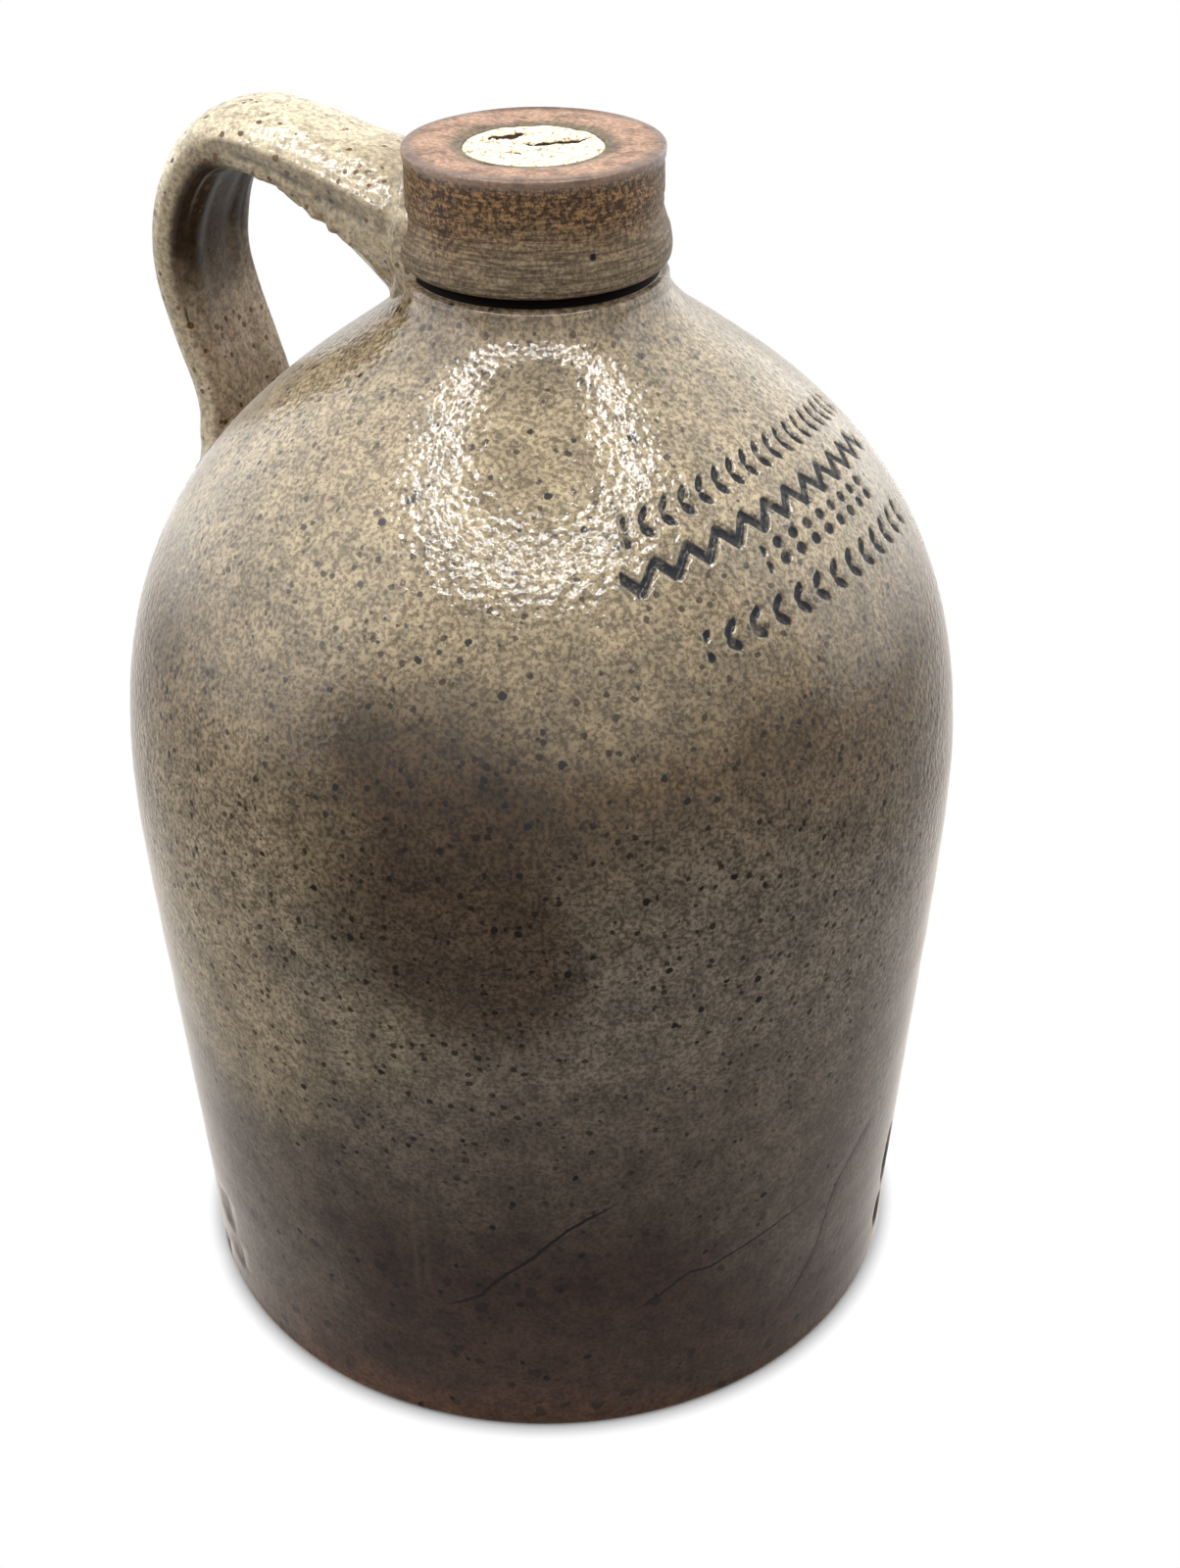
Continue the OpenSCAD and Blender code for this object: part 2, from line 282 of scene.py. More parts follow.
def grid_faces(rows, columns, closed_rows=False):
    """Four-sided faces of a grid whose columns close round. Rows may close as well."""
    row = np.arange(rows if closed_rows else rows - 1)[:, None]
    column = np.arange(columns)[None, :]
    after = (row + 1) % rows
    beside = (column + 1) % columns
    quads = np.stack([row * columns + column, row * columns + beside,
                      after * columns + beside, after * columns + column], -1)
    return quads.reshape(-1, 4).tolist()


def fan(centre, ring, outward):
    """Triangles from a pole to a ring of point numbers, turned outward or inward."""
    after = np.roll(ring, -1)
    order = (after, ring) if outward else (ring, after)
    return np.stack([np.full(len(ring), centre), *order], -1).tolist()


def capped_grid(grid, first_pole, last_pole):
    """Points and faces of a grid of rings, with a fan of triangles to a pole at each end."""
    rows, columns = grid.shape[:2]
    ring = np.arange(columns)
    points = np.vstack([grid.reshape(-1, 3), [first_pole, last_pole]])
    faces = grid_faces(rows, columns)
    faces += fan(rows * columns, ring, True)
    faces += fan(rows * columns + 1, (rows - 1) * columns + ring, False)
    return points, faces


def with_poles(values):
    """A capped grid's values, where each pole takes the mean of the ring beside it."""
    return np.r_[values.ravel(), values[0].mean(), values[-1].mean()]


def revolved(outline, azimuths, lift):
    """Points of an outline turned round Z: (r cos a, r sin a, z), a grid of rows.

    Lift is how far each point moves along the outline's own normal."""
    r, z = outline[:, 0], outline[:, 1]
    a = np.radians(azimuths)
    dr, dz = np.gradient(r), np.gradient(z)
    size = np.hypot(dr, dz)
    nr, nz = dz / size, -dr / size
    rr = r[:, None] + nr[:, None] * lift
    zz = z[:, None] + nz[:, None] * lift
    return np.stack([rr * np.cos(a), rr * np.sin(a), zz + 0 * a], -1)


# Outlines

# Pull points of the curves, as shares of the height or run that each curve covers
LOWER_PULLS = (0.33, 0.18)
SHOULDER_PULLS = (0.55, 0.53)
NECK_PULLS = (0.6, 0.36)
SWELL_PULLS = (0.8, 0.4)
WAIST_PULLS = (0.45, 0.45)
# Depth of the widest part of the bead below the rim, as a share of the bead
BEAD_MIDDLE = 0.5
# How far outside the hollow and below the rim the rim's curve is pulled
RIM_PULLS = (2 * MM, 0.1 * MM)
# Slope of the shoulder at the neck, and the rounding of the ledge and inside corner
SHOULDER_SLOPE = math.radians(34.4)
LEDGE_EDGE = 1 * MM
FLOOR_CORNER = 12 * MM
CURVE_STEPS = 240
COLLAR_CURVE_STEPS = 80


def seat_height(body):
    """Height of the collar's seat, over the groove."""
    return body.height + body.groove_height


def rim_height(body, collar):
    """Height of the collar's rim."""
    return seat_height(body) + collar.height


def jug_body_outlines(body, collar):
    """The wall from foot to ledge and the hollow from neck to floor, as (radius, height).

    Cubic curves join the foot, belly, neck and ledge. The hollow is the wall's line
    moved in along its normal by the wall's thickness, with a round corner at the floor."""
    ledge_z = body.height
    neck_z = ledge_z - body.neck_rise
    way = np.array([math.cos(SHOULDER_SLOPE), -math.sin(SHOULDER_SLOPE)])
    neck_foot = np.array([body.neck_radius, neck_z])
    rise = neck_z - body.belly_height
    run = body.belly_radius - body.neck_radius
    t = np.linspace(0, 1, CURVE_STEPS)
    wall = bezier([[body.foot_radius, body.foot_edge],
                   [body.foot_radius + body.foot_lean, LOWER_PULLS[0] * body.belly_height],
                   [body.belly_radius, (1 - LOWER_PULLS[1]) * body.belly_height],
                   [body.belly_radius, body.belly_height]], t)
    shoulder = bezier([[body.belly_radius, body.belly_height],
                       [body.belly_radius, body.belly_height + SHOULDER_PULLS[0] * rise],
                       neck_foot + SHOULDER_PULLS[1] * (run + rise) / 2 * way,
                       neck_foot], t)
    neck = bezier([neck_foot,
                   neck_foot - NECK_PULLS[0] * (body.neck_radius - body.ledge_radius) * way,
                   [body.ledge_radius, ledge_z - NECK_PULLS[1] * body.neck_rise],
                   [body.ledge_radius, ledge_z - LEDGE_EDGE]], t)
    outside = join(
        arc([body.foot_radius - body.foot_edge, body.foot_edge], body.foot_edge, -90, 0),
        wall, shoulder, neck,
        arc([body.ledge_radius - LEDGE_EDGE, ledge_z - LEDGE_EDGE], LEDGE_EDGE, 0, 90))
    curved = join(wall, shoulder)
    way_out = np.gradient(curved, axis=0)
    way_out /= np.linalg.norm(way_out, axis=1)[:, None]
    inner = curved + body.wall * np.stack([-way_out[:, 1], way_out[:, 0]], 1)
    bore_end = rim_height(body, collar) - collar.bore_length
    keep = ((inner[:, 1] > body.floor + FLOOR_CORNER) & (inner[:, 1] < bore_end)
            & (inner[:, 0] > collar.mouth_radius))
    inner = inner[keep]
    hollow = join(
        [[0, body.floor]],
        arc([inner[0, 0] - FLOOR_CORNER, body.floor + FLOOR_CORNER], FLOOR_CORNER, -90, 0),
        inner)
    return outside, hollow[::-1]


def bore_radius(body, collar, z):
    """Radius of the tapered bore at a height."""
    rim = rim_height(body, collar)
    top, end = rim - collar.hollow_depth, rim - collar.bore_length
    return (collar.mouth_radius - collar.bore_narrowing
            + collar.bore_narrowing * (z - end) / (top - end))


def bore_points(body, collar, *heights):
    """Points on the bore at the heights given, as (radius, height)."""
    return [[bore_radius(body, collar, z), z] for z in heights]


def collar_outline(body, collar):
    """The collar's underside, flank, bead and rim, as (radius, height) up to the mouth."""
    seat, rim = seat_height(body), rim_height(body, collar)
    groove = body.ledge_radius - body.groove_depth
    swell, waist = collar.swell_radius, collar.waist_radius
    t = np.linspace(0, 1, COLLAR_CURVE_STEPS)
    under = bezier([[groove, seat], [groove + SWELL_PULLS[0] * (swell - groove), seat],
                    [swell, seat + SWELL_PULLS[1] * collar.swell_height],
                    [swell, seat + collar.swell_height]], t)
    rise = collar.waist_height - collar.swell_height
    flank = bezier([[swell, seat + collar.swell_height],
                    [swell, seat + collar.swell_height + WAIST_PULLS[0] * rise],
                    [waist, seat + collar.waist_height - WAIST_PULLS[1] * rise],
                    [waist, seat + collar.waist_height]], t)
    middle = [collar.rim_radius, rim - BEAD_MIDDLE * collar.bead_height]
    bead = join(
        bezier([[waist, rim - collar.bead_height],
                [collar.rim_radius, rim - collar.bead_height], middle, middle], t),
        bezier([middle, [collar.rim_radius, rim], [collar.rim_radius, rim],
                [collar.rim_radius - collar.rounding, rim]], t))
    rim_top = bezier([bead[-1], [collar.hollow_radius + RIM_PULLS[0], rim],
                      [collar.hollow_radius, rim - RIM_PULLS[1]],
                      [collar.mouth_radius, rim - collar.hollow_depth]], t)
    return join(under, flank, bead, rim_top)


# Materials

GLAZE_IOR = 1.7
# The sheen that lights the sides of the jug
SHEEN_ROUGHNESS = 0.26
SHEEN_TINT = (1.0, 0.93, 0.86, 1)
# Where a patch's edge lies, and how far the wobble moves it, as shares of its size
PATCH_EDGE = 1.45
PATCH_WANDER = 0.9
# Width of a speck's soft edge, as a share of the widest speck
SPECK_EDGE = 0.25


def new_material(name):
    """A material with Blender's usual nodes."""
    material = bpy.data.materials.new(name)
    material.use_nodes = True
    return material


class Finish:
    """A material's node tree, with a short call for each kind of node it uses."""

    def __init__(self, name):
        self.material = new_material(name)
        self.nodes = self.material.node_tree.nodes
        self.links = self.material.node_tree.links
        self.shader = self.nodes["Principled BSDF"]
        self.place = self.nodes.new("ShaderNodeTexCoord").outputs["Object"]

    def feed(self, socket, value):
        """Links an output to a socket, or sets the socket to a number or a colour."""
        if isinstance(value, bpy.types.NodeSocket):
            self.links.new(value, socket)
        elif socket.type == "RGBA":
            socket.default_value = (*value, 1)
        else:
            socket.default_value = value

    def add(self, kind, result, inputs, **options):
        """A node with its options set and its inputs fed. Gives the named output."""
        node = self.nodes.new(kind)
        for key, value in options.items():
            setattr(node, key, value)
        for key, value in inputs.items():
            self.feed(node.inputs[key], value)
        return node.outputs[result]

    def stretched(self, x, y, z):
        """Object coordinates scaled along each axis."""
        return self.add("ShaderNodeVectorMath", "Vector", {0: self.place, 1: (x, y, z)},
                        operation="MULTIPLY")

    def noise(self, size, detail, rough, place=None):
        """Soft noise from 0 to 1, whose lumps are about size millimetres wide."""
        return self.add("ShaderNodeTexNoise", "Fac",
                        {"Vector": place or self.place, "Scale": 1000 / size,
                         "Detail": detail, "Roughness": rough})

    def cells(self, size, place, smooth=0.0):
        """Distance to the middle of cells about size millimetres wide. Smooth melts them."""
        inputs = {"Vector": place, "Scale": 1000 / size}
        if smooth == 0.0:
            return self.add("ShaderNodeTexVoronoi", "Distance", inputs)
        inputs["Smoothness"] = smooth
        return self.add("ShaderNodeTexVoronoi", "Distance", inputs, feature="SMOOTH_F1")

    def math(self, operation, first, second=0.0, third=0.0):
        """The result of a math node."""
        return self.add("ShaderNodeMath", "Value", {0: first, 1: second, 2: third},
                        operation=operation)

    def times(self, first, second):
        """Two numbers multiplied."""
        return self.math("MULTIPLY", first, second)

    def most(self, first, second):
        """The larger of two numbers."""
        return self.math("MAXIMUM", first, second)

    def moved(self, value, noise, reach):
        """A value moved up or down by a noise from 0 to 1, by at most half of reach."""
        return self.math("MULTIPLY_ADD", self.math("SUBTRACT", noise, 0.5), reach, value)

    def ease(self, value, low, high, start=0.0, end=1.0):
        """A value turned smoothly from low and high into start and end."""
        return self.add("ShaderNodeMapRange", "Result",
                        {"Value": value, "From Min": low, "From Max": high,
                         "To Min": start, "To Max": end}, interpolation_type="SMOOTHSTEP")

    def blend(self, share, first, second, kind="MIX"):
        """Two colours mixed by a share.

        The node has sockets of the same name for each type, so numbers pick them."""
        node = self.nodes.new("ShaderNodeMix")
        node.data_type = "RGBA"
        node.blend_type = kind
        self.feed(node.inputs[0], share)
        self.feed(node.inputs[6], first)
        self.feed(node.inputs[7], second)
        return node.outputs[2]

    def tint(self, base, factor, share=1.0):
        """A colour multiplied by another colour or by a number."""
        return self.blend(share, base, factor, "MULTIPLY")

    def ramp(self, value, stops):
        """A colour for a value, from stops of value and colour."""
        low, high = stops[0][0], stops[-1][0]
        node = self.nodes.new("ShaderNodeValToRGB")
        band = node.color_ramp
        for i, (at, tone) in enumerate(stops):
            share = (at - low) / (high - low)
            stop = band.elements[i] if i < 2 else band.elements.new(share)
            stop.position = share
            stop.color = (*tone, 1)
        self.feed(node.inputs[0], self.add("ShaderNodeMapRange", "Result", {
            "Value": value, "From Min": low, "From Max": high}))
        return node.outputs["Color"]

    def attribute(self, name):
        """A number that the mesh carries."""
        return self.add("ShaderNodeAttribute", "Fac", {}, attribute_name=name)

    def height(self):
        """Height on the jug in millimetres."""
        split = self.add("ShaderNodeSeparateXYZ", "Z", {0: self.place})
        return self.times(split, 1000)

    def radius(self):
        """Distance from the jug's axis in millimetres."""
        flat = self.stretched(1000, 1000, 0)
        return self.add("ShaderNodeVectorMath", "Value", {0: flat}, operation="LENGTH")

    def patch(self, azimuth, z, radius, size, soft, wobble):
        """1 inside a round patch of the surface and 0 outside, with an uneven edge.

        The edge lies at a share of size from the middle, and the wobble moves it."""
        a = math.radians(azimuth)
        middle = (radius * MM * math.cos(a), radius * MM * math.sin(a), z * MM)
        gap = self.add("ShaderNodeVectorMath", "Value", {0: self.place, 1: middle},
                       operation="DISTANCE")
        uneven = self.math("MULTIPLY_ADD", wobble, size * MM * PATCH_WANDER, gap)
        edge = size * PATCH_EDGE
        return self.ease(uneven, (edge + soft) * MM, (edge - soft) * MM)

    def patches(self, places, wobble):
        """The strongest of several patches, each with its strength last in its row."""
        best = 0.0
        for *place, strength in places:
            best = self.most(best, self.times(self.patch(*place, wobble), strength))
        return best

    def specks(self, size, share, widest, place, seed):
        """Scattered spots: 1 in the middle of a share of the cells, which differ in size.

        The widest spot's radius is that share of a cell, and the seed shifts them all."""
        place = self.add("ShaderNodeVectorMath", "Vector",
                         {0: place, 1: (seed, seed * 2, seed * 3)}, operation="ADD")
        cell = self.nodes.new("ShaderNodeTexVoronoi")
        self.feed(cell.inputs["Vector"], place)
        cell.inputs["Scale"].default_value = 1000 / size
        luck = self.add("ShaderNodeSeparateColor", "Red", {0: cell.outputs["Color"]})
        big = self.ease(luck, 1 - share, 1, 0.0, widest)
        gap = self.math("SUBTRACT", big, cell.outputs["Distance"])
        return self.ease(gap, 0.0, widest * SPECK_EDGE)

    def shaken(self, size, by):
        """Object coordinates shaken by noise, for outlines that aren't round."""
        wave = self.add("ShaderNodeTexNoise", "Color",
                        {"Vector": self.place, "Scale": 1000 / size, "Detail": 3.0})
        offset = self.add("ShaderNodeVectorMath", "Vector",
                          {0: wave, 1: (-0.5, -0.5, -0.5)}, operation="ADD")
        return self.add("ShaderNodeVectorMath", "Vector",
                        {0: offset, 1: (by * MM,) * 3, 2: self.place},
                        operation="MULTIPLY_ADD")

    def bump(self, height, depth, under=None):
        """A bump whose full height is depth millimetres."""
        inputs = {"Height": height, "Strength": 1.0, "Distance": depth * MM}
        if under is not None:
            inputs["Normal"] = under
        return self.add("ShaderNodeBump", "Normal", inputs)

    def finish(self, base, rough, normal, specular, coat=0.0, coat_rough=0.1, sheen=0.0):
        """Feeds the shader and gives the material. The coat is the glaze over the clay."""
        socket = self.shader.inputs
        self.feed(socket["Base Color"], base)
        self.feed(socket["Roughness"], rough)
        self.feed(socket["Normal"], normal)
        self.feed(socket["Coat Weight"], coat)
        self.feed(socket["Coat Normal"], normal)
        socket["Coat Roughness"].default_value = coat_rough
        socket["Coat IOR"].default_value = GLAZE_IOR
        socket["Specular IOR Level"].default_value = specular
        socket["Sheen Weight"].default_value = sheen
        socket["Sheen Roughness"].default_value = SHEEN_ROUGHNESS
        socket["Sheen Tint"].default_value = SHEEN_TINT
        return self.material


# Patches on the wall: azimuth, height, distance from the axis, size and soft edge in
# millimetres, and strength
CLOUDS = ((-77, 158, 88, 21, 11, 0.76), (-70, 136, 90, 16, 10, 0.76))
# Khaki patches of salt, which on the wall's left side are also painted side light
SALT_AND_SIDE_LIGHT = ((-84, 112, 88, 10, 7, 0.18), (-108, 150, 88, 22, 14, 0.35),
          (-114, 106, 87, 22, 15, 0.5))
# Lighter patches at the lower left and right edges: painted side light and sheen
PAINTED_EDGE_LIGHT = ((-122, 44, 86, 28, 18, 0.55), (-10, 70, 87, 30, 18, 0.5))
# What the fine grain multiplies red, green and blue by, at its darkest and lightest
GRAIN_TINTS = ((0.56, 0.50, 0.42), (1.74, 1.70, 1.62))


def salt_glaze(body):
    """Khaki salt glaze with an orange peel surface, brown specks and a bare, dark foot."""
    m = Finish("salt glaze")
    z = m.height()
    ledge = body.height / MM
    cloud = m.noise(30, 4.0, 0.6)
    grain = m.noise(2.0, 3.0, 0.65)
    pepper = m.noise(0.9, 2.0, 0.6)
    shaken = m.shaken(1.2, 1.1)
    # Bands of clay and glaze by height
    level = m.moved(z, m.noise(55, 3.0, 0.55), 44.0)
    base = m.ramp(level, ((-6, body.russet), (16, body.plum), (52, body.mauve),
                          (112, body.dusk), (138, body.dusk), (170, body.brown),
                          (208, body.khaki), (224, body.khaki), (250, body.russet)))
    # Dark clouds, patches with more salt that on the left side are also painted side light, and
    # painted side light and sheen at the lower edges
    wobble = m.math("MULTIPLY_ADD", m.noise(7.0, 3.0, 0.7), 0.4, cloud)
    wobble = m.math("SUBTRACT", wobble, 0.7)
    for places, tone in ((CLOUDS, body.umber), (SALT_AND_SIDE_LIGHT, body.khaki), (PAINTED_EDGE_LIGHT, body.dusk)):
        base = m.blend(m.patches(places, wobble), base, tone)
    # Fine grain, weaker on the bare clay, and wide blots
    patchy = m.math("MULTIPLY_ADD", m.ease(grain, 0.38, 0.62, -1.0, 1.0), 0.35,
                    m.ease(pepper, 0.40, 0.60, -1.0, 1.0))
    patchy = m.times(patchy, m.ease(level, 50.0, 150.0, 0.5, 1.0))
    patchy = m.math("MULTIPLY_ADD", patchy, 0.37, 0.5)
    base = m.tint(base, m.blend(patchy, *GRAIN_TINTS))
    base = m.tint(base, m.ease(m.noise(8.0, 3.0, 0.6), 0.32, 0.68, 0.78, 1.20))
    # Smoke at the foot, and olive and iron specks
    smoked = m.specks(5.5, 0.9, 0.36, m.shaken(3.0, 3.5), 0.5)
    base = m.blend(m.times(smoked, m.ease(z, 80.0, 40.0, 0.0, 0.6)), base, body.iron)
    olive = m.specks(2.1, 0.62, 0.40, shaken, 0.3)
    base = m.tint(base, body.olive, m.times(olive, m.ease(level, 30.0, 110.0, 0.3, 0.85)))
    base = m.blend(m.specks(4.0, 0.4, 0.24, shaken, 0.7), base, body.iron)
    # Scuffs, stained marks, cracks, and painted shade with pooled glaze in the groove under the
    # collar
    base = m.blend(m.times(m.attribute("scuffs"), 0.1), base, body.khaki)
    stain = m.times(m.ease(m.attribute("marks"), 0.16, -0.2),
                    m.ease(grain, 0.30, 0.52, 0.6, 1.0))
    base = m.blend(stain, base, body.charcoal)
    crack = m.math("ABSOLUTE", m.moved(m.attribute("crack_side"), grain, 0.9))
    crack = m.math("SUBTRACT", crack, m.attribute("crack_open"))
    base = m.blend(m.ease(crack, 0.12, -0.02), base, body.iron)
    # Painted shade: the groove under the collar turned near black, with glaze pooled in it
    groove = m.ease(z, ledge + 0.05, ledge + 0.3)
    base = m.blend(groove, base, body.iron)
    # Orange peel, strongest on the shoulder, over fine grit
    peel = m.cells(1.7, m.shaken(2.0, 1.2), 0.2)
    peel = m.math("MULTIPLY_ADD", m.noise(1.7, 2.0, 0.5), 0.5, peel)
    upper = m.times(m.ease(level, 60.0, 170.0, 0.25, 1.0),
                    m.ease(z, ledge - 2.0, ledge - 7.0))
    normal = m.bump(m.times(peel, upper), 0.14)
    normal = m.bump(pepper, 0.025, normal)
    # The glassy coat, which is thin on the lower wall and in the stained marks
    bare = m.most(groove, m.times(stain, 0.8))
    coat = m.times(m.ease(level, 140.0, 208.0, 0.08, 0.85), m.math("SUBTRACT", 1.0, bare))
    coat = m.times(coat, m.ease(z, ledge + 6.0, ledge - 4.0, 0.4, 1.0))
    return m.finish(base, 0.5, normal, 0.02, coat, 0.12, 0.85)


# The pit in the collar: azimuth, height over the seat, distance from the axis
COLLAR_PIT = (-36.1, 7.7, 26.2)


def collar_glaze(body, collar):
    """Brown mottled glaze, greyer below, with a toasted rim."""
    m = Finish("collar glaze")
    z = m.height()
    seat, rim = seat_height(body) / MM, rim_height(body, collar) / MM
    mouth, edge = collar.mouth_radius / MM, collar.rim_radius / MM
    drift = m.noise(14, 3.0, 0.6)
    worm = m.noise(1.05, 3.0, 0.7)
    fine = m.noise(0.7, 2.0, 0.6)
    trace = m.noise(7.0, 3.0, 0.6, m.stretched(1, 1, 14))
    # Stone below and toffee above, with rusty worms and streaks from turning
    level = m.moved(z, drift, 14.0)
    browned = m.ease(level, rim - 17.0, rim - 5.0, 0.15, 1.0)
    base = m.blend(m.times(browned, 0.85), collar.stone, collar.toffee)
    worms = m.times(m.ease(worm, 0.46, 0.54, 0.0, 0.92),
                    m.ease(browned, 0.0, 1.0, 0.35, 0.9))
    base = m.blend(worms, base, collar.rust)
    base = m.blend(m.ease(fine, 0.35, 0.60, 0.4, 0.0), base, collar.rust)
    base = m.tint(base, m.ease(trace, 0.38, 0.62, 0.6, 1.3))
    # Iron spots and the pit
    spots = m.specks(5.0, 0.15, 0.13, m.shaken(1.6, 1.0), 0.4)
    azimuth, low, radius = COLLAR_PIT
    pit = m.patch(azimuth, seat + low, radius, 0.5, 0.2, m.math("SUBTRACT", worm, 0.5))
    base = m.blend(m.most(spots, pit), base, body.iron)
    # The toasted rim, grey at its edge and glazed round the mouth
    out = m.moved(m.radius(), drift, 3.0)
    toasted = m.blend(m.ease(out, edge - 3.75, edge - 0.95), collar.toast, collar.ash)
    toasted = m.blend(m.ease(out, mouth + 4.0, mouth + 1.0), toasted, collar.stone)
    toasted = m.blend(m.ease(worm, 0.40, 0.62, 0.4, 0.0), toasted, collar.rust)
    burnt = m.ease(m.noise(6.0, 4.0, 0.7), 0.46, 0.64, 0.0, 0.45)
    toasted = m.blend(burnt, toasted, collar.rust)
    base = m.blend(m.ease(m.moved(z, worm, 1.0), rim - 2.0, rim - 0.9), base, toasted)
    # Painted shade: the foot of the collar over the groove turned near black, with glaze pooled
    # there
    base = m.blend(m.ease(z, rim - 22.0, rim - 22.6), base, body.iron)
    normal = m.bump(worm, 0.15)
    normal = m.bump(trace, 0.12, normal)
    bead = m.times(m.ease(z, rim - 3.4, rim - 1.4),
                   m.ease(out, edge - 3.15, edge - 1.45))
    coat = m.math("MULTIPLY_ADD", bead, 0.5, m.ease(level, rim - 18.0, rim, 0.1, 0.2))
    return m.finish(base, 0.45, normal, 0.05, coat, 0.14)


def strap_glaze(body, strap):
    """Light khaki glaze, glossy on the crest and thin on the inner side."""
    m = Finish("strap glaze")
    z = m.height()
    ledge = body.height / MM
    grain = m.noise(1.9, 3.0, 0.65)
    pepper = m.noise(0.9, 2.0, 0.6)
    drift = m.noise(22, 3.0, 0.6)
    shaken = m.shaken(1.2, 0.9)
    inner = m.attribute("inner")
    # Lighter on the crest, darker on the edges, the tail and near the collar: pooled glaze, and
    # painted highlight and top light
    lit = m.times(m.ease(z, ledge, ledge + 17.0), m.attribute("crown"))
    lit = m.times(lit, m.ease(m.radius(), 30.0, 46.0, 0.5, 1.0))
    base = m.blend(lit, strap.reed, strap.straw)
    base = m.blend(m.ease(drift, 0.44, 0.66, 0.0, 0.35), base, strap.bronze)
    # The inner side, wiped thin, and darkened towards the top with painted shade under the arch
    inner_shade = m.ease(m.moved(z, drift, 40.0), ledge - 30.0, ledge, 0.1, 1.0)
    base = m.blend(inner, base, m.blend(inner_shade, strap.shade, body.umber))
    # Fine grain, olive and iron specks, pits, and painted shade along the crease
    patchy = m.math("MULTIPLY_ADD", m.ease(pepper, 0.42, 0.58, -1.0, 1.0), 0.9,
                    m.ease(grain, 0.38, 0.62, -1.0, 1.0))
    base = m.tint(base, m.math("MULTIPLY_ADD", patchy, 0.22, 1.0))
    base = m.blend(m.specks(2.2, 0.7, 0.38, shaken, 0.5), base, body.olive)
    base = m.blend(m.specks(6.0, 0.2, 0.13, shaken, 0.9), base, body.iron)
    base = m.blend(m.attribute("pits"), base, body.iron)
    # Orange peel, weaker on the inner side
    peel = m.cells(2.0, m.shaken(2.0, 1.2), 0.25)
    normal = m.bump(m.times(peel, m.ease(inner, 0.0, 1.0, 1.0, 0.35)), 0.15)
    normal = m.bump(pepper, 0.03, normal)
    return m.finish(base, 0.5, normal, 0.08, m.ease(inner, 0.0, 1.0, 0.6, 0.12), 0.13, 0.2)


def cork_finish(top, cork):
    """Pale cork with grain, pores, dark cracks, and a darker side below its top."""
    m = Finish("cork")
    grain = m.noise(1.6, 4.0, 0.65)
    cell = m.cells(0.9, m.shaken(1.2, 0.6))
    base = m.blend(m.ease(grain, 0.56, 0.38, 0.0, 0.7), cork.cream, cork.tan)
    base = m.blend(m.ease(cell, 0.5, 0.72, 0.0, 0.7), base, cork.tan)
    base = m.blend(m.ease(cell, 0.66, 0.80, 0.0, 0.6), base, cork.bark)
    side = m.ease(m.height(), top / MM - 0.5, top / MM - 2.0, 0.0, 0.6)
    base = m.blend(side, base, m.blend(m.ease(grain, 0.3, 0.7), cork.bark, cork.tan))
    dark = m.moved(m.attribute("void"), grain, 0.9)
    base = m.blend(m.ease(dark, 0.35, 0.62), base, cork.bark)
    return m.finish(base, 0.85, m.bump(grain, 0.3), 0.2)


# Pieces

# Azimuths in degrees, with the width of one of the body's columns there
BODY_COLUMNS = ((-180, 2.2), (-92, 2.2), (-86, 0.85), (-54, 0.7), (-50, 0.56), (38, 0.56),
                (42, 1.0), (56, 2.2), (180, 2.2))
# Step in degrees with which the widths of the columns are summed
FINE_TURN = 0.05
# Heights in millimetres, with the length of one of the wall's rows there
BODY_ROWS = ((0, 1.0), (74, 1.0), (80, 2.3), (180, 2.3), (185, 0.66), (219, 0.66),
             (224, 1.0), (240, 1.0))
# Rings under the foot, as shares of its radius, and the length of a row in the hollow
UNDERSIDE_SHARES = (0.3, 0.6, 0.85, 0.97)
HOLLOW_STEP = 9 * MM
# Chamfers at the bottom of the groove and on the neck tube
GROOVE_EDGE = 0.2 * MM
TUBE_EDGE = 0.3 * MM
# Depth of the bore's corner below the top of the neck tube
BORE_CORNER = 6 * MM
EVEN_AZIMUTHS = np.linspace(-180, 180, 300, endpoint=False)
# Height in millimetres that the wall's noise is spread over
NOISE_HEIGHT = 260
# Distances from the axis at which degrees of azimuth become millimetres
WALL_RADIUS = 85.0
MARK_RADIUS = 62.0
# Cracks as places on the wall: azimuth, height
CRACKS = (
    ((-77.1, 37.3), (-73.8, 39.8), (-70.7, 42.6), (-69.5, 45.6), (-66.7, 50.4),
     (-63.2, 55.1), (-60.6, 59.7), (-58.4, 63.1), (-55.8, 66), (-52.8, 68.6), (-49.9, 72.4)),
    ((-49.5, 35.4), (-45.5, 39), (-42.7, 42.3), (-40.4, 44.4), (-37.3, 44), (-32.9, 46.1),
     (-24.4, 49.3), (-14.7, 51.2)),
    ((-2.5, 59.8), (-7.1, 56), (-11.9, 49.9), (-13.8, 45.3), (-16, 32.4), (-19.5, 23.8),
     (-24.1, 15.3)),
)
# Half width of each crack in millimetres, and the step between its sides
CRACK_FORM = ((0.36, 0.06), (0.30, 0.06), (0.24, 0.09))
# Rows of the impressed ornament: first and last azimuth, height at the middle, motif
MARK_ROWS = ((-46, 36, 214.2, "leaves"), (-48, 28, 207.4, "zigzag"),
             (-22, 14, 202.0, "dots"), (-37, 22, 194.2, "leaves"))
MARK_MIDDLE = -6.0
MARK_HEIGHT = 6.4
# Drop of a row in millimetres, for the square of the degrees from the middle
MARK_SAG = 0.0031
# Least share of a step up the wall that is height, where marks are measured
LEAST_STEEPNESS = 0.3
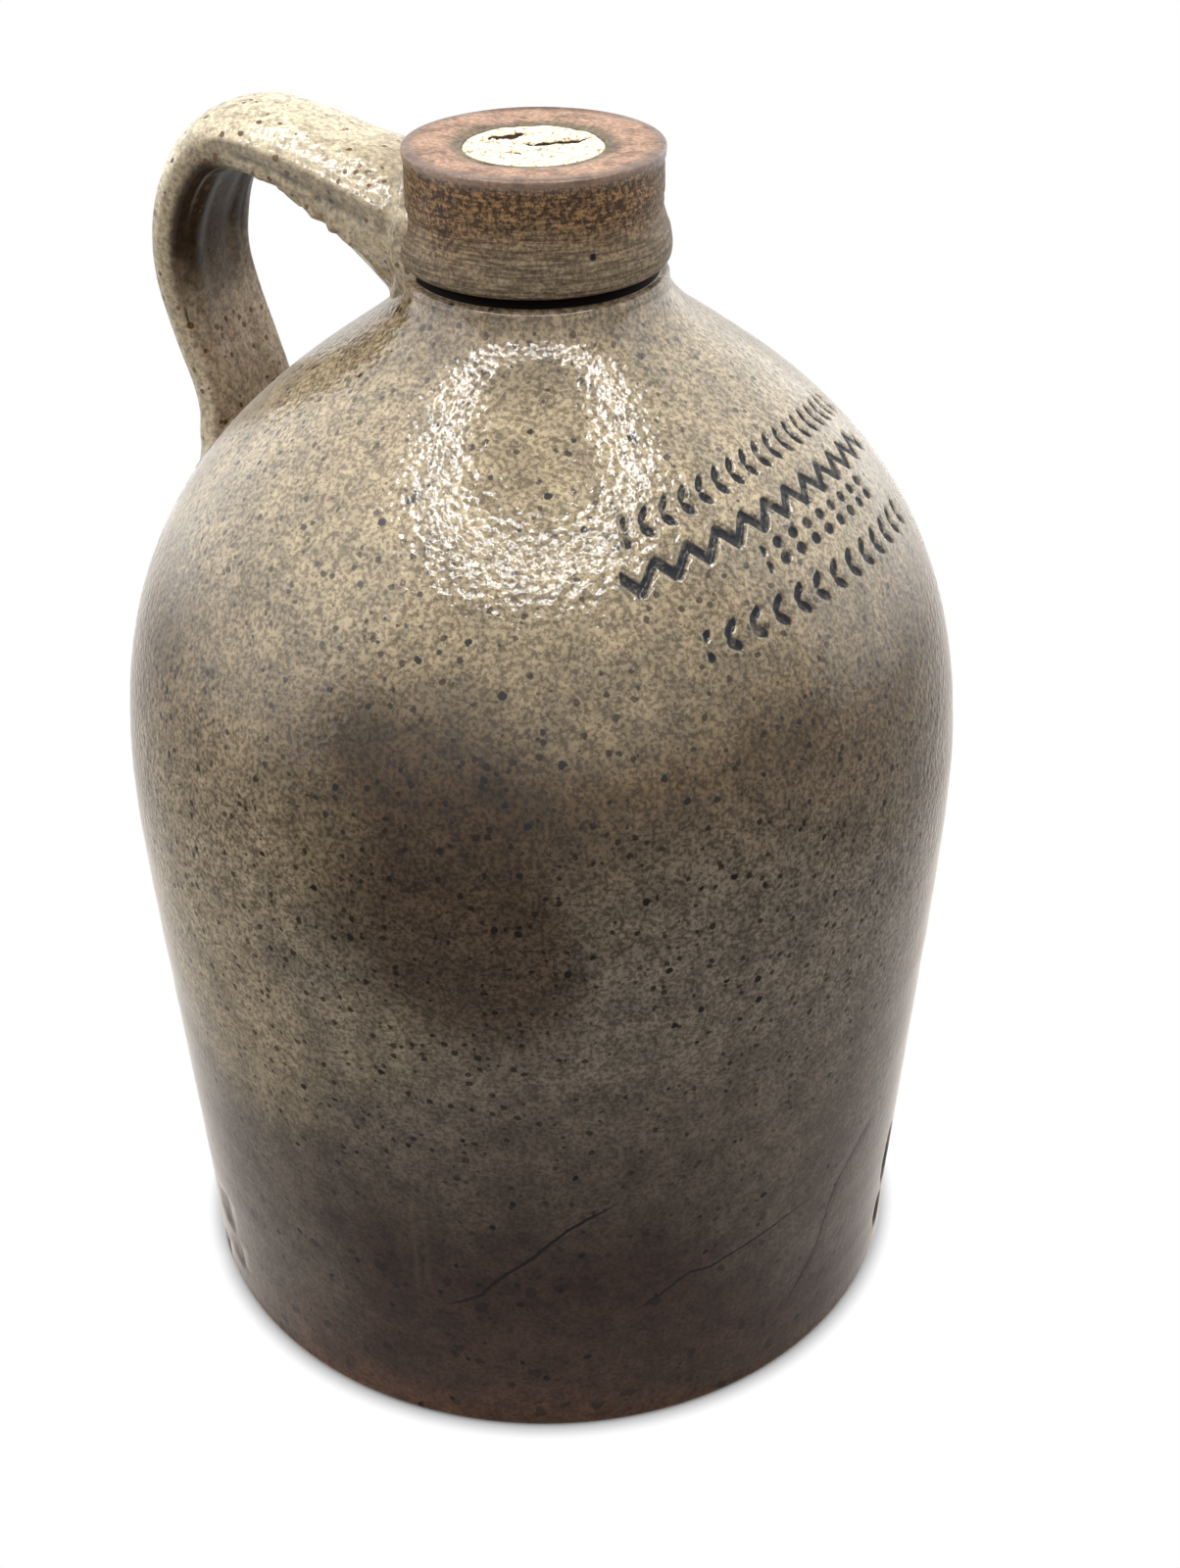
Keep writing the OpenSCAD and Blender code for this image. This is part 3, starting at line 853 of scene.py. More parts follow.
# The motifs in millimetres: how often each repeats, and its own lengths
ZIGZAG_REPEAT, ZIGZAG_STROKE, ZIGZAG_MARGIN = 7.0, 0.8, 0.9
DOT_REPEAT, DOT_RADIUS, DOT_RISE = 4.6, 1.3, 1.7
LEAF_REPEAT, LEAF_RADIUS, LEAF_SHIFT, LEAF_TIP = 5.0, 1.9, 0.75, 0.8
LEAF_LEAN = 0.55
# Chips on the wall: azimuth, height, half width, half height, depth in millimetres
CHIPS = ((10.3, 30, 4, 9, 0.9), (8.5, 14, 3, 5, 0.8), (-125.5, 23, 4, 6, 0.7),
         (-122.9, 13, 3, 4, 0.7), (-131, 5, 2, 3, 0.9))
# The smeared ridge on the shoulder: azimuth and half width in degrees, then height,
# half height, climb for each degree and relief in millimetres
SMEAR = (-117, 16, 233.0, 0.9, 0.03, 0.35)
# Azimuths of the scuffed streaks, and their half width
SCUFFS = (-83.0, -81.6, -80.2, -78.4)
SCUFF_HALF = 0.28
# How far in millimetres the distances to marks and to cracks are worked out
MARK_REACH = 3.0
CRACK_REACH = 6.0
# Half opening of a crack where there is none
CRACK_SHUT = -1.0
# The wall's attributes, with what they hold away from the wall
WALL_FIELDS = (("marks", MARK_REACH), ("crack_side", CRACK_REACH),
               ("crack_open", CRACK_SHUT), ("scuffs", 0.0))


def column_azimuths():
    """Azimuths of the body's columns, closer together where the surface has detail.

    As in spread, the running sum of one over the width is cut into equal parts."""
    knots = np.array(BODY_COLUMNS)
    a = np.linspace(-180, 180, round(360 / FINE_TURN) + 1)
    run = np.r_[0, np.cumsum(FINE_TURN / np.interp((a[1:] + a[:-1]) / 2, *knots.T))]
    count = int(run[-1])
    return np.interp(np.arange(count) * run[-1] / count, run, a)


def neck_tube_outline(body, collar, hollow_top):
    """From the ledge up the groove, over the seat and tube, and down the bore."""
    seat = seat_height(body)
    groove, tube = body.ledge_radius - body.groove_depth, collar.spigot_radius
    tube_top = seat + collar.spigot_height
    return join([[groove + GROOVE_EDGE, body.height], [groove, body.height + GROOVE_EDGE],
                 [groove, seat], [tube, seat], [tube, tube_top - TUBE_EDGE],
                 [tube - TUBE_EDGE, tube_top]],
                bore_points(body, collar, tube_top, tube_top - BORE_CORNER),
                [[bore_radius(body, collar, hollow_top) - 0.01 * MM, hollow_top + MM]])


def repeated(along, period):
    """Distance along a row from the middle of the nearest repeat."""
    return (along + period / 2) % period - period / 2


def mark_distance(along, up, motif):
    """Distance in millimetres outside the marks of one row, negative within them.

    Each mark repeats along the row. A zigzag is the distance to a folded line, a leaf
    is the lens between two shifted circles, and a dot is one circle."""
    half = MARK_HEIGHT / 2
    if motif == "zigzag":
        wave = np.abs((along / ZIGZAG_REPEAT) % 1 * 2 - 1) * 2 - 1
        slant = math.cos(math.atan(4 * half / ZIGZAG_REPEAT))
        line = np.abs(up - wave * (half - ZIGZAG_MARGIN)) * slant - ZIGZAG_STROKE
        return np.maximum(line, np.abs(up) - half)
    if motif == "dots":
        return np.hypot(repeated(along, DOT_REPEAT), np.abs(up) - DOT_RISE) - DOT_RADIUS
    lean = repeated(along, LEAF_REPEAT) - np.abs(up) * LEAF_LEAN + LEAF_TIP
    return np.hypot(np.abs(lean) + LEAF_SHIFT, np.abs(up) - half / 2) - LEAF_RADIUS


def mark_field(azimuth, z, steepness):
    """Distance outside the impressed ornament over the whole wall, in millimetres."""
    field = np.full(azimuth.shape, MARK_REACH)
    for first, last, middle_z, motif in MARK_ROWS:
        up = (z - middle_z + MARK_SAG * (azimuth - MARK_MIDDLE) ** 2) / steepness
        along = np.radians(azimuth - first) * MARK_RADIUS
        ends = np.radians(np.maximum(first - azimuth, azimuth - last)) * MARK_RADIUS
        field = np.minimum(field, np.maximum(mark_distance(along, up, motif), ends))
    return field


def crack_fields(azimuth, z):
    """Side of the nearest crack, its half opening, and the step down beside all cracks.

    The side is the distance to the crack, with its sign from the side it lies on."""
    side = np.full(azimuth.shape, CRACK_REACH)
    opening = np.full(azimuth.shape, CRACK_SHUT)
    sunk = np.zeros(azimuth.shape)
    across = np.radians(azimuth) * WALL_RADIUS
    for points, (half, step) in zip(CRACKS, CRACK_FORM):
        line = [(math.radians(a) * WALL_RADIUS, h) for a, h in points]
        gap, along = line_side(across, z, line, CRACK_REACH)
        near = np.abs(gap) < np.abs(side)
        ends = smooth_step(along, 0.0, 0.12) * smooth_step(along, 1.0, 0.8)
        taper = np.where(along >= 0, ends, 0)
        side = np.where(near, gap, side)
        opening = np.where(near, half * (taper * 1.25 - 0.25), opening)
        sunk += step * taper * smooth_step(gap, 2.0, -0.6) * smooth_step(gap, -5.0, -0.8)
    return side, opening, sunk


def wall_details(azimuth, z, body, steepness):
    """Lift of the body's wall in millimetres, and its fields in the order of WALL_FIELDS.

    The lift adds throwing rings, lumps and a smear, and takes away marks, cracks and
    chips."""
    turn, level = azimuth / 360, z / NOISE_HEIGHT
    rings = lumps(3, turn * 0 + 0.5, (z + azimuth / 90) / NOISE_HEIGHT, 2, 34)
    rings = rings * 0.7 + 0.3 * lumps(4, turn, level, 5, 60)
    lift = (rings - 1) * body.ring_depth / MM / 2
    lift += 0.22 * (lumps(5, turn, level, 7, 6) - 1)
    marks = mark_field(azimuth, z, steepness)
    lift -= body.mark_depth / MM * smooth_step(-marks, -0.25, 0.45)
    lift += 0.12 * hump(marks, 0.6, 0.35)
    side, opening, sunk = crack_fields(azimuth, z)
    lift -= sunk
    for a, h, wide, high, deep in CHIPS:
        x = np.radians((azimuth - a + 180) % 360 - 180) * WALL_RADIUS / wide
        lift -= deep * smooth_step(1.15 - np.hypot(x, (z - h) / high), 0, 0.5)
    at, wide, height, high, climb, relief = SMEAR
    lift += relief * hump(azimuth, at, wide) * hump(z - height - climb * (azimuth - at), 0, high)
    scuffs = sum(hump(azimuth, a, SCUFF_HALF) for a in SCUFFS)
    scuffs = scuffs * smooth_step(z, 36, 44) * smooth_step(z, 74, 64)
    scuffs = scuffs * (0.6 + 0.4 * lumps(6, turn, level, 60, 50))
    return lift, (marks, side, opening, scuffs)


class JUG_OT_body(Operator):
    """Turns the thrown body, with its ledge, neck tube, hollow and surface detail"""
    bl_idname = "jug.body"
    bl_label = "Body"

    def execute(self, context):
        body, collar = context.scene.jug_body, context.scene.jug_collar
        outside, hollow = jug_body_outlines(body, collar)
        knots = np.array(BODY_ROWS)
        outside = spread(outside, lambda p: MM * np.interp(p[:, 1] / MM, *knots.T))
        under = np.array([[outside[0, 0] * s, 0] for s in UNDERSIDE_SHARES])
        outline = join(under, outside, neck_tube_outline(body, collar, hollow[0, 1]),
                       spread(hollow, HOLLOW_STEP)[:-1])
        row = np.arange(len(outline))[:, None]
        on_wall = (row >= len(under)) & (row < len(under) + len(outside))
        azimuth, z = np.meshgrid(column_azimuths(), outline[:, 1] / MM)
        steps = np.gradient(outline, axis=0)
        steepness = np.abs(steps[:, 1]) / np.maximum(np.hypot(*steps.T), 1e-9)
        steepness = np.maximum(steepness, LEAST_STEEPNESS)[:, None]
        lift, fields = wall_details(azimuth, z, body, steepness)
        ledge = body.height / MM
        ends = smooth_step(z, 0.0, 3.0) * smooth_step(z, ledge - 0.2, ledge - 3.0)
        grid = revolved(outline, azimuth[0], lift * on_wall * ends * MM)
        points, faces = capped_grid(grid, [0, 0, 0], [0, 0, body.floor])
        attributes = [(name, with_poles(np.where(on_wall, field, away)))
                      for (name, away), field in zip(WALL_FIELDS, fields)]
        piece = mesh_piece("jug_wall", points, faces, attributes)
        piece.data.materials.append(salt_glaze(body))
        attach(piece, "jug")
        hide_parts("jug_body")
        return {"FINISHED"}


COLLAR_STEP = 0.45 * MM
# Depth below the rim at which the collar's bore starts
MOUTH_EDGE = 2 * MM
# Width of the bead beside the rim's flat top
RIM_BEAD = 1.2 * MM
# Radius in metres from which the rim's noise changes no more with the radius
RIM_NOISE_RADIUS = 1 / 60
# Lines of the potter's tool: height over the seat, azimuth, half width in degrees, depth
COLLAR_LINES = ((3.2, -56, 16, 0.16), (3.9, -50, 13, 0.12), (4.7, -62, 12, 0.10),
                (5.4, -46, 9, 0.08))
COLLAR_LINE_HALF = 0.22
PIT_DEPTH, PIT_HALF = 0.5, 0.75
# Height in millimetres that the collar's noise is spread over
COLLAR_NOISE_HEIGHT = 24
# Width in millimetres of a degree of azimuth on the collar
COLLAR_DEGREE = 0.48


def collar_relief(azimuth, low):
    """Lift of the collar in millimetres: lumps and rings, less tool lines and the pit.

    Low is the height over the seat in millimetres."""
    turn, level = azimuth / 360, low / COLLAR_NOISE_HEIGHT
    lift = 0.14 * (lumps(11, turn, level, 9, 8) - 1)
    lift += 0.10 * (lumps(12, turn * 0 + 0.3, level, 2, 22) - 1)
    for height, middle, wide, deep in COLLAR_LINES:
        lift -= deep * hump(low, height, COLLAR_LINE_HALF) * hump(azimuth, middle, wide)
    pit_azimuth, pit_low, _ = COLLAR_PIT
    from_pit = np.hypot((azimuth - pit_azimuth) * COLLAR_DEGREE, low - pit_low)
    return lift - PIT_DEPTH * hump(from_pit, 0, PIT_HALF)


class JUG_OT_collar(Operator):
    """Turns the collar, with its bead, toasted rim, bore and tooling lines"""
    bl_idname = "jug.collar"
    bl_label = "Collar"

    def execute(self, context):
        body, collar = context.scene.jug_body, context.scene.jug_collar
        seat, rim = seat_height(body), rim_height(body, collar)
        tube_top = seat + collar.spigot_height
        outer = spread(collar_outline(body, collar), COLLAR_STEP)
        outline = join(
            outer, bore_points(body, collar, rim - MOUTH_EDGE, tube_top + MM, tube_top),
            [[collar.spigot_radius, tube_top], [collar.spigot_radius, seat]])
        r = outline[:, :1]
        azimuth, z = np.meshgrid(EVEN_AZIMUTHS, outline[:, 1] / MM)
        low = z - seat / MM
        on_top = 0.22 * (lumps(13, azimuth / 360, r / RIM_NOISE_RADIUS, 11, 6) - 1)
        lift = np.where(r < collar.rim_radius - RIM_BEAD, on_top,
                        collar_relief(azimuth, low))
        # The bore and the last two rows before it stay smooth, where the cork fits
        shown = (np.arange(len(outline)) < len(outer) - 2)[:, None]
        lift = lift * shown * smooth_step(low, 0.0, 1.0) * MM
        grid = revolved(outline, azimuth[0], lift)
        rows, columns = grid.shape[:2]
        piece = mesh_piece("collar_ring", grid.reshape(-1, 3),
                           grid_faces(rows, columns, closed_rows=True))
        piece.data.materials.append(collar_glaze(body, collar))
        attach(piece, "jug")
        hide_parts("collar")
        return {"FINISHED"}


# Guide points of the strap: shares of the way out and up, and of the way up at the tail
STRAP_OUT_SHARES = (0.04, 0.5, 0.78, 1)
STRAP_UP_SHARES = (0.86, 0.96, 1, 0.57)
TAIL_UP_SHARES = (0.14, 0, -0.18)
# The strap starts inside the collar, at this share of the collar's waist
ROOT_EMBED = 0.3
STRAP_RINGS = 330
STRAP_SIDES = 150
# Roundness of the strap's sides: 2 is an ellipse, and more is squarer
DOME_POWER = 2.3
INNER_POWER = 4
ROOT_INNER_POWER = 2.5
# Pits in the strap: shares of its length and of its girth, and their half sizes
STRAP_PITS = ((0.637, 0.689, 0.008, 0.008), (0.628, 0.682, 0.005, 0.006),
              (0.206, 0.728, 0.006, 0.008))
# Torn edge: shares of the strap's length and girth, with their half sizes
STRAP_TEAR = (0.22, 0.07, 0.66, 0.05)
# Crease and the ridge beside it, as shares of the girth
STRAP_CREASE = 0.738
STRAP_RIDGE = 0.775
# Share of the fillet at the strap's roots that is filled with clay
FILLET_FILL = 0.85


def strap_guides(body, collar, strap):
    """Guide points of the strap's route as (distance from the axis, height)."""
    seat, waist = seat_height(body), collar.waist_radius
    crest = seat + strap.crest
    outside, _ = jug_body_outlines(body, collar)
    shoulder = outside[outside[:, 1] > body.belly_height]
    root = np.interp(strap.lower_root, shoulder[:, 1], shoulder[:, 0])
    drop = crest - strap.lower_root
    points = [(ROOT_EMBED * waist, seat + strap.upper_root)]
    points += [(waist + out * (strap.reach - waist), strap.lower_root + up * drop)
               for out, up in zip(STRAP_OUT_SHARES, STRAP_UP_SHARES)]
    points += [(root, strap.lower_root + up * drop) for up in TAIL_UP_SHARES]
    return np.array(points)


def spline(guides, share):
    """Uniform cubic B-spline through the guides' hull, and its direction.

    One more guide at each end carries that end straight on."""
    g = np.vstack([2 * guides[0] - guides[1], guides, 2 * guides[-1] - guides[-2]])
    x = share * (len(guides) - 1)
    i = np.minimum(x.astype(int), len(guides) - 2)
    t = (x - i)[:, None]
    p0, p1, p2, p3 = (g[i + k] for k in range(4))
    point = ((1 - t) ** 3 * p0 + (3 * t ** 3 - 6 * t * t + 4) * p1
             + (-3 * t ** 3 + 3 * t * t + 3 * t + 1) * p2 + t ** 3 * p3) / 6
    way = (-(1 - t) ** 2 * p0 + (3 * t * t - 4 * t) * p1
           + (-3 * t * t + 2 * t + 1) * p2 + t * t * p3) / 2
    return point, way / np.linalg.norm(way, axis=1)[:, None]


def outline_gap(line, r, z):
    """Distance from points to a turned outline, negative inside it."""
    best = np.full(r.shape, 1.0)
    for (ar, az), (br, bz) in zip(line[:-1], line[1:]):
        dr, dz = br - ar, bz - az
        t = np.clip(((r - ar) * dr + (z - az) * dz) / (dr * dr + dz * dz), 0, 1)
        best = np.minimum(best, np.hypot(r - ar - t * dr, z - az - t * dz))
    order = np.argsort(line[:, 1], kind="stable")
    inside = r < np.interp(z, line[order, 1], line[order, 0])
    return np.where(inside, -best, best)


def fading(distance, reach):
    """1 at no distance and 0 from reach on, falling as a square."""
    return np.maximum(0, 1 - np.maximum(0, distance) / reach) ** 2


def strap_section(strap, share, a, root, tail):
    """Height of the section over the route, its place across, and that as a share.

    Each side is a part of a superellipse: the cosine and sine of the angle, raised to
    2 over a power, times the thickness and half the width."""
    half = ((strap.width + strap.spread * root + strap.tail * tail) / 2)[:, None]
    inner = (strap.inner_top + (strap.inner_end - strap.inner_top) * share
             + strap.web * root)[:, None]
    domed = np.cos(a) >= 0
    inner_power = INNER_POWER - (INNER_POWER - ROOT_INNER_POWER) * root[:, None]
    power = np.where(domed, DOME_POWER, inner_power)
    lift = np.sign(np.cos(a)) * np.abs(np.cos(a)) ** (2 / power)
    lift = lift * np.where(domed, strap.dome, inner)
    across = np.sign(np.sin(a)) * np.abs(np.sin(a)) ** (2 / power) * half
    return lift, across, across / half


def strap_relief(s, a, y):
    """Lift of the strap in millimetres, its pits with painted shade along the crease, and where
    its inner side is wiped.

    s is the share of the length, a the angle round the section, y the share across."""
    turn = a / (2 * np.pi) + 0 * s
    wiped = smooth_step(-np.cos(a), -0.1, 0.35) * smooth_step(s, 0.30, 0.42)
    detail = 0.25 * (lumps(21, turn, s, 16, 22) - 1)
    detail += 0.16 * lumps(22, turn, s * 0.3, 34, 6)
    grooves = np.cos(y * 11 + 1.5 * lumps(23, turn * 0 + 0.2, s, 2, 7))
    detail += wiped * 0.2 * (grooves - 1) * smooth_step(1 - np.abs(y), 0, 0.2)
    at, long, place, wide = STRAP_TEAR
    torn = hump(s, at, long) * hump(turn, place, wide)
    detail += 1.9 * torn * (lumps(24, turn, s, 26, 80) - 0.1)
    creased = smooth_step(s, 0.09, 0.15) * smooth_step(s, 0.42, 0.30)
    detail += creased * (0.7 * hump(turn, STRAP_RIDGE, 0.02)
                         - 1.1 * hump(turn, STRAP_CREASE, 0.013))
    pits = np.zeros(s.shape)
    for at, place, long, wide in STRAP_PITS:
        pit = hump(np.hypot((s - at) / long, (turn - place) / wide), 0, 1)
        pits = np.maximum(pits, pit)
    detail -= 0.8 * pits
    # Painted shade: a dark line along the crease, carried with the pits
    crease_shade = 0.5 * creased * hump(turn, STRAP_CREASE, 0.009) * (1 + lumps(25, turn, s, 9, 60))
    return detail, np.maximum(pits, crease_shade), wiped


def root_flare(body, collar, strap, r, across, z):
    """How far the strap swells towards the body and collar, as a fillet of clay.

    It is the height of a quarter circle's arc, for the gap to the turned outline."""
    outside, _ = jug_body_outlines(body, collar)
    seat = seat_height(body)
    # Some points of both outlines, without the groove and the rim's top
    over = collar_outline(body, collar)
    over = over[(over[:, 0] > body.ledge_radius) | (over[:, 1] > seat + 5 * MM)]
    over = over[over[:, 0] > collar.waist_radius - 0.1 * MM]
    former = join(outside[:-6:3], [[body.ledge_radius, seat]], over[::4])
    gap = outline_gap(former, np.hypot(r, across), z)
    near = np.clip(1 - gap / strap.fillet, 0, 1)
    return strap.fillet * (1 - np.sqrt(1 - near ** 2)) * FILLET_FILL


class JUG_OT_strap(Operator):
    """Pulls the strap handle: a domed section carried along a spline, luted at both roots"""
    bl_idname = "jug.strap"
    bl_label = "Strap handle"

    def execute(self, context):
        body, collar, strap = (context.scene.jug_body, context.scene.jug_collar,
                               context.scene.jug_strap)
        share = np.linspace(0, 1, STRAP_RINGS)
        middle, way = spline(strap_guides(body, collar, strap), share)
        upper = share < 0.5
        root = upper * fading(middle[:, 0] - collar.waist_radius, strap.spread_reach)
        tail = ~upper * fading(middle[:, 1] - strap.lower_root, strap.tail_reach)
        a = np.linspace(0, 2 * np.pi, STRAP_SIDES, endpoint=False)[None, :]
        lift, across, y = strap_section(strap, share, a, root, tail)
        s = share[:, None] + 0 * a
        detail, pits, wiped = strap_relief(s, a, y)
        lift = lift + detail * MM * np.cos(a)
        across = across + detail * MM * np.sin(a) * 0.6
        r = middle[:, :1] - lift * way[:, 1:]
        z = middle[:, 1:] + lift * way[:, :1]
        away = np.stack([r - middle[:, :1], across, z - middle[:, 1:]], -1)
        away /= np.maximum(np.linalg.norm(away, axis=-1), 1e-6)[..., None]
        flare = root_flare(body, collar, strap, r, across, z)
        r, across, z = (v + flare * away[..., i] for i, v in enumerate((r, across, z)))
        grid = np.stack([-r, across, z], -1)
        ends = [[-out, 0, up] for out, up in middle[[0, -1]]]
        points, faces = capped_grid(grid, *ends)
        crown = smooth_step(np.cos(a), 0.05, 0.4) + 0 * s
        piece = mesh_piece("pulled_strap", points, faces,
                           (("inner", with_poles(wiped)), ("crown", with_poles(crown)),
                            ("pits", with_poles(pits))))
        piece.data.materials.append(strap_glaze(body, strap))
        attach(piece, "jug")
        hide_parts("strap_handle")
        return {"FINISHED"}


# Cracks in the cork's top, in millimetres in the studio's directions, with half widths
CORK_CRACKS = ((((-8.5, 5.6), (-6.5, 6.6), (-4.2, 6.4), (-2.6, 8.2), (-0.6, 8.0)), 1.5),
               (((-2.4, 1.6), (0.4, 0.8), (2.8, 1.8), (6.2, 2.2), (8.8, 3.4), (11.4, 5.2)),
                1.3),
               (((-5.4, -4.6), (-3.8, -3.8), (-2.6, -5.0)), 1.0),
               (((-10.5, 3.0), (-8.8, 4.2)), 0.7))
# How far in millimetres the distances to them are worked out
CORK_CRACK_REACH = 3.0
# Rings on the cork's inner end, as shares of its radius
CORK_END_SHARES = (0.4, 0.8)
CORK_SIDE_STEP = 0.9 * MM
CORK_TOP_STEP = 0.19 * MM
# Radius of the smallest ring on the cork's top
CORK_EYE = 0.3 * MM
# Width in millimetres that the noise on the cork's top is spread over
CORK_NOISE_WIDTH = 30


def cork_void(x, y):
    """1 in the cracks and pores of the cork's top and 0 beside them.

    A crack is as wide as its half width less the distance to its line, with noise."""
    u, v = x / CORK_NOISE_WIDTH, y / CORK_NOISE_WIDTH + 0.5
    void = 0.8 * smooth_step(lumps(32, u, v, 42, 42), 0.5, 0.9)
    ragged = 0.35 * lumps(31, u, v, 60, 60)
    for points, half in CORK_CRACKS:
        side, along = line_side(x, y, points, CORK_CRACK_REACH)
        ends = smooth_step(along, -0.01, 0.2) * smooth_step(along, 1.01, 0.7)
        wide = half * (0.35 + 0.65 * ends) * (along >= 0)
        void = np.maximum(void, smooth_step(wide - np.abs(side) - ragged, -0.35, 0.3))
    return void


class JUG_OT_cork(Operator):
    """Turns the tapered cork, with cracks and pores in its top"""
    bl_idname = "jug.cork"
    bl_label = "Cork"

    def execute(self, context):
        body, collar, cork = (context.scene.jug_body, context.scene.jug_collar,
                              context.scene.jug_cork)
        top = rim_height(body, collar) - cork.sink
        end = top - cork.length
        flat = bore_radius(body, collar, top) - cork.gap - cork.chamfer
        rim = bore_radius(body, collar, top - cork.chamfer) - cork.gap
        foot = bore_radius(body, collar, end + cork.chamfer) - cork.gap
        # One point between side and top rounds the upper chamfer
        outline = join(
            np.array([[foot * s, end] for s in CORK_END_SHARES]),
            [[foot - cork.chamfer, end], [foot, end + cork.chamfer]],
            spread(np.array([[foot, end + cork.chamfer], [rim, top - cork.chamfer]]),
                   CORK_SIDE_STEP),
            [[(rim + flat) / 2 + 0.1 * MM, top - 0.25 * cork.chamfer]],
            spread(np.array([[flat, top], [CORK_EYE, top]]), CORK_TOP_STEP))
        azimuth, z = np.meshgrid(EVEN_AZIMUTHS, outline[:, 1] / MM)
        turned = np.radians(azimuth) - STUDIO_TURN
        r = outline[:, :1] / MM
        x, y = r * np.cos(turned), r * np.sin(turned)
        on_top = smooth_step(z, top / MM - 0.5, top / MM - 0.1)
        void = cork_void(x, y) * on_top
        soft = lumps(33, x / CORK_NOISE_WIDTH, y / CORK_NOISE_WIDTH + 0.5, 14, 14)
        lift = -0.9 * void - 0.22 * on_top * (1 - soft)
        grid = revolved(outline, azimuth[0], lift * MM)
        points, faces = capped_grid(grid, [0, 0, end], [0, 0, grid[-1, :, 2].mean()])
        piece = mesh_piece("tapered_cork", points, faces, (("void", with_poles(void)),))
        piece.data.materials.append(cork_finish(top, cork))
        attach(piece, "cork")
        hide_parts("cork_stopper")
        return {"FINISHED"}


# Studio

WHITE = (1, 1, 1, 1)
FLOOR_RADIUS = 3
FLOOR_CORNERS = 128
FLOOR_COLOUR = (0.8, 0.8, 0.8, 1)
FLOOR_ROUGHNESS = 0.9
# Width of the soft dark edge that the floor shows round the foot, and its samples
SHADOW_REACH = 3.8 * MM
SHADOW_SAMPLES = 16
# Middle of the ring lamp as the camera sees it, its inner and outer radius, its corners
RING_MIDDLE = (-0.02, -0.10, 0.95)
RING_RADII = (0.34, 0.39)
RING_CORNERS = 96
# Side lights with their places as the camera sees them, their width, and their aim
SIDE_LIGHTS = (("left_light", (-0.95, 0.2, 0.5)), ("right_light", (0.95, 0.55, 0.5)))
SIDE_WIDTH = 1.8
SIDE_AIM = (0, 0, 0.13)
# The camera's place, and its yaw, pitch and roll in degrees, in the studio's directions
CAMERA_PLACE = (0, -0.4213, 0.3839)
CAMERA_ANGLES = (1.41, 32.23, -0.24)
SENSOR_WIDTH = 36


def white_when_seen(tree, shader, white):
    """Mixes a shader with plain white wherever a camera, mirror or glass ray meets it."""
    path = tree.nodes.new("ShaderNodeLightPath")
    seen = path.outputs["Is Camera Ray"]
    for name in ("Is Glossy Ray", "Is Transmission Ray"):
        most = tree.nodes.new("ShaderNodeMath")
        most.operation = "MAXIMUM"
        tree.links.new(seen, most.inputs[0])
        tree.links.new(path.outputs[name], most.inputs[1])
        seen = most.outputs[0]
    mix = tree.nodes.new("ShaderNodeMixShader")
    tree.links.new(seen, mix.inputs[0])
    tree.links.new(shader, mix.inputs[1])
    tree.links.new(white, mix.inputs[2])
    return mix.outputs[0]


def studio_point(place):
    """A place given right of, beyond and over the jug as the camera sees it."""
    return Matrix.Rotation(STUDIO_TURN, 3, "Z") @ Vector(place)


